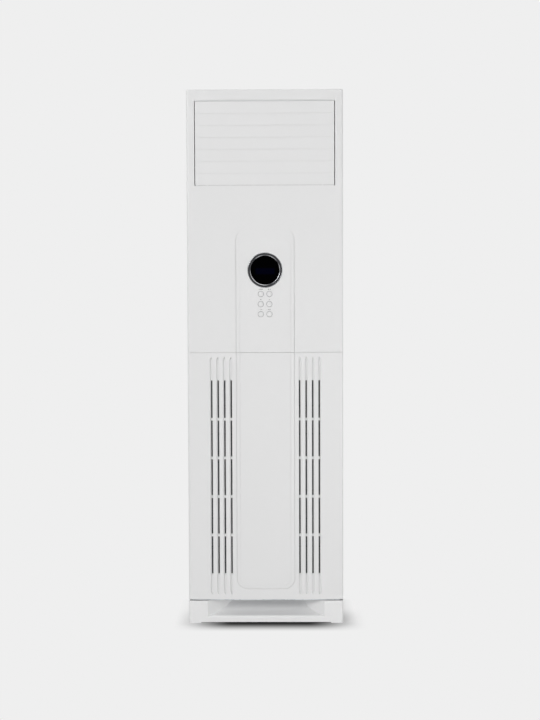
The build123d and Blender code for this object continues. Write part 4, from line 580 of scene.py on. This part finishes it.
STRIP_FACE = -0.155                     # flat face of the raised centre strip
BUTTON_COLUMN = 0.014                   # columns of the buttons, either side of the middle
BUTTON_DROP = 0.0153                    # button below its label
BUTTON_HOLE = 0.0089                    # radius
BUTTON_SHADE_LINE = 0.0009                    # width of the painted shade line round it
LABEL_ROWS = (1.1015, 1.0686, 1.0357)
PRINT_THICK = 0.00004
PRINT_SWELL = 0.00009                   # letters grow by this all round
PRINT_MERGE = 0.000002
WORD_SIZE = 0.0037
FIGURE_SIZE = 0.0039
ARROW_R = 0.0021
ARROW_OFFSET = 0.0027
SIGN_WIDTH = 0.0038                     # plus and minus
SIGN_STROKE = 0.0009
SIGN_HALF = 0.00145                     # upright halves of the plus, and how far up they sit
SIGN_RISE = 0.00118
FACING_FRONT = Matrix.Rotation(radians(90), 4, "X")


def new_piece(name, shape, finish):
    """A finished shape that belongs to the standing cabinet."""
    piece = as_object(name, shape, finish)
    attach(piece, "cabinet")
    return piece


def add_bar(shape, place, size, turn=Matrix()):
    """A box of a size, turned and put at a place."""
    matrix = Matrix.Translation(place) @ turn @ Matrix.Diagonal((*size, 1))
    bmesh.ops.create_cube(shape, size=1.0, matrix=matrix)


def add_disc(shape, place, radius, thickness, sides, edge=0.0, turn=Matrix()):
    """A disc or prism with its axis along Y, its edges rounded off."""
    matrix = Matrix.Translation(place) @ turn @ FACING_FRONT
    made = bmesh.ops.create_cone(shape, cap_ends=True, segments=sides, radius1=radius, radius2=radius,
                                 depth=thickness, matrix=matrix)["verts"]
    if edge:
        rims = [line for line in shape.edges if line.verts[0] in made
                and abs(line.verts[0].co.y - line.verts[1].co.y) < edge / 10]
        bmesh.ops.bevel(shape, geom=rims, offset=edge, segments=2, profile=0.5, affect="EDGES", material=-1)


def coil_fins():
    """The stack of thin fins of the leaning coil."""
    shape = bmesh.new()
    lean = Matrix.Rotation(-COIL_LEAN, 4, "X")
    count = round(COIL_SIZE[0] / FIN_PITCH)
    span = COIL_SIZE[0] - FIN_THICK
    for i in range(count + 1):
        place = COIL_MIDDLE + Vector((i * span / count - span / 2, 0, 0))
        add_bar(shape, place, (FIN_THICK, COIL_SIZE[1], COIL_SIZE[2]), lean)
    fins = new_piece("coil_fins", shape, finishes["fin_aluminium"])
    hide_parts("evaporator_fins")


def rear_beads():
    """Pressed beads that stiffen the rear panel."""
    shape = bmesh.new()
    for height in BEAD_HEIGHTS:
        add_bar(shape, (0, BEAD_MIDDLE, height), BEAD_SIZE)
    bmesh.ops.bevel(shape, geom=shape.edges[:], offset=BEAD_ROUND, segments=3, profile=0.5,
                    affect="EDGES", material=-1)
    new_piece("rear_beads", shape, finishes["casing_white"])


def motor_bolts():
    """Four hexagon bolts with washers in the motor's mounting plate."""
    shape = bmesh.new()
    for i in range(4):
        angle = radians(45 + 90 * i)
        x, z = BOLT_RING * cos(angle), FAN_HEIGHT + BOLT_RING * sin(angle)
        add_disc(shape, (x, BRACKET_BACK + WASHER_THICK / 2, z), WASHER_R, WASHER_THICK, sides=24)
        add_disc(shape, (x, HEAD_MIDDLE, z), HEAD_R, HEAD_THICK, sides=6, edge=HEAD_ROUND)
    new_piece("motor_bolts", shape, finishes["screw_zinc"])


def capacitor_tops():
    """Bright ends of the board's capacitors, each with its scored cross."""
    shape = bmesh.new()
    for x in CAPACITOR_PLACES:
        place = CAPACITOR_TOP + Vector((x, 0, 0))
        for i in range(4):
            angle = radians(45 + 90 * i)
            quarter = place + Vector((cos(angle), 0, sin(angle))) * QUARTER_OFFSET
            add_disc(shape, quarter, QUARTER_R, QUARTER_THICK, sides=20, edge=QUARTER_ROUND)
        add_disc(shape, place, END_R, END_THICK, sides=40)
    new_piece("capacitor_tops", shape, finishes["stepper_zinc"])


def add_words(shape, words, size, x, z):
    """Plain words printed on the strip's face, as thin closed letters."""
    curve = bpy.data.curves.new("print", "FONT")
    curve.body = words
    curve.size = size
    curve.extrude = PRINT_THICK / 2
    curve.resolution_u = 3
    curve.offset = PRINT_SWELL
    curve.align_x = "CENTER"
    curve.align_y = "CENTER"
    writing = bpy.data.objects.new("print", curve)
    scene.collection.objects.link(writing)
    letters = bpy.data.meshes.new_from_object(writing.evaluated_get(bpy.context.evaluated_depsgraph_get()))
    bpy.data.objects.remove(writing)
    letters.transform(Matrix.Translation((x, STRIP_FACE, z)) @ FACING_FRONT)
    shape.from_mesh(letters)
    bpy.data.meshes.remove(letters)


def button_labels():
    """Small generic labels over the buttons: on and off, up and down, more and less, steps, hours."""
    shape = bmesh.new()
    top, middle, low = LABEL_ROWS
    add_words(shape, "ON/OFF", WORD_SIZE, -BUTTON_COLUMN, top)
    for offset, over in ((-ARROW_OFFSET, 0), (ARROW_OFFSET, 180)):
        add_disc(shape, (BUTTON_COLUMN + offset, STRIP_FACE, top), ARROW_R, PRINT_THICK, sides=3,
                 turn=Matrix.Rotation(radians(over), 4, "Y"))
    for x in (-BUTTON_COLUMN, BUTTON_COLUMN):
        add_bar(shape, (x, STRIP_FACE, middle), (SIGN_WIDTH, PRINT_THICK, SIGN_STROKE))
    for z in (middle - SIGN_RISE, middle + SIGN_RISE):
        add_bar(shape, (-BUTTON_COLUMN, STRIP_FACE, z), (SIGN_STROKE, PRINT_THICK, SIGN_HALF))
    add_words(shape, "1 2 3", FIGURE_SIZE, -BUTTON_COLUMN, low)
    add_words(shape, "0-24", FIGURE_SIZE, BUTTON_COLUMN, low)
    bmesh.ops.remove_doubles(shape, verts=shape.verts[:], dist=PRINT_MERGE)
    bmesh.ops.recalc_face_normals(shape, faces=shape.faces[:])
    new_piece("button_labels", shape, print_and_painted_shade("dark_label_ink", (0.03, 0.031, 0.034)))


def add_ring(shape, centre, inner, width):
    """A thin flat ring round an axis along Y, spun from its cross-section."""
    place = centre + Vector((inner + width / 2, 0, 0))
    size = Matrix.Diagonal((width, PRINT_THICK, 1, 1))
    corners = bmesh.ops.create_grid(shape, x_segments=1, y_segments=1, size=0.5,
                                    matrix=Matrix.Translation(place) @ size)["verts"]
    edges = list(dict.fromkeys(edge for corner in corners for edge in corner.link_edges))
    bmesh.ops.delete(shape, geom=edges[0].link_faces[:], context="FACES_ONLY")
    bmesh.ops.spin(shape, geom=corners + edges, cent=centre, axis=(0, 1, 0), angle=2 * pi, steps=40,
                   use_merge=True)


def painted_gap_shade_rings():
    """Painted shade: a thin grey line round each button's hole, standing in for the shadow in the gap round
    the button.
    """
    shape = bmesh.new()
    for x in (-BUTTON_COLUMN, BUTTON_COLUMN):
        for row in LABEL_ROWS:
            add_ring(shape, Vector((x, STRIP_FACE, row - BUTTON_DROP)), BUTTON_HOLE, BUTTON_SHADE_LINE)
    bmesh.ops.recalc_face_normals(shape, faces=shape.faces[:])
    # Painted shade round each button, in a grey finish.
    new_piece("painted_gap_shade_rings", shape, print_and_painted_shade("painted_gap_shade_grey", (0.36, 0.36, 0.37)))


coil_fins()
rear_beads()
motor_bolts()
capacitor_tops()
button_labels()
painted_gap_shade_rings()
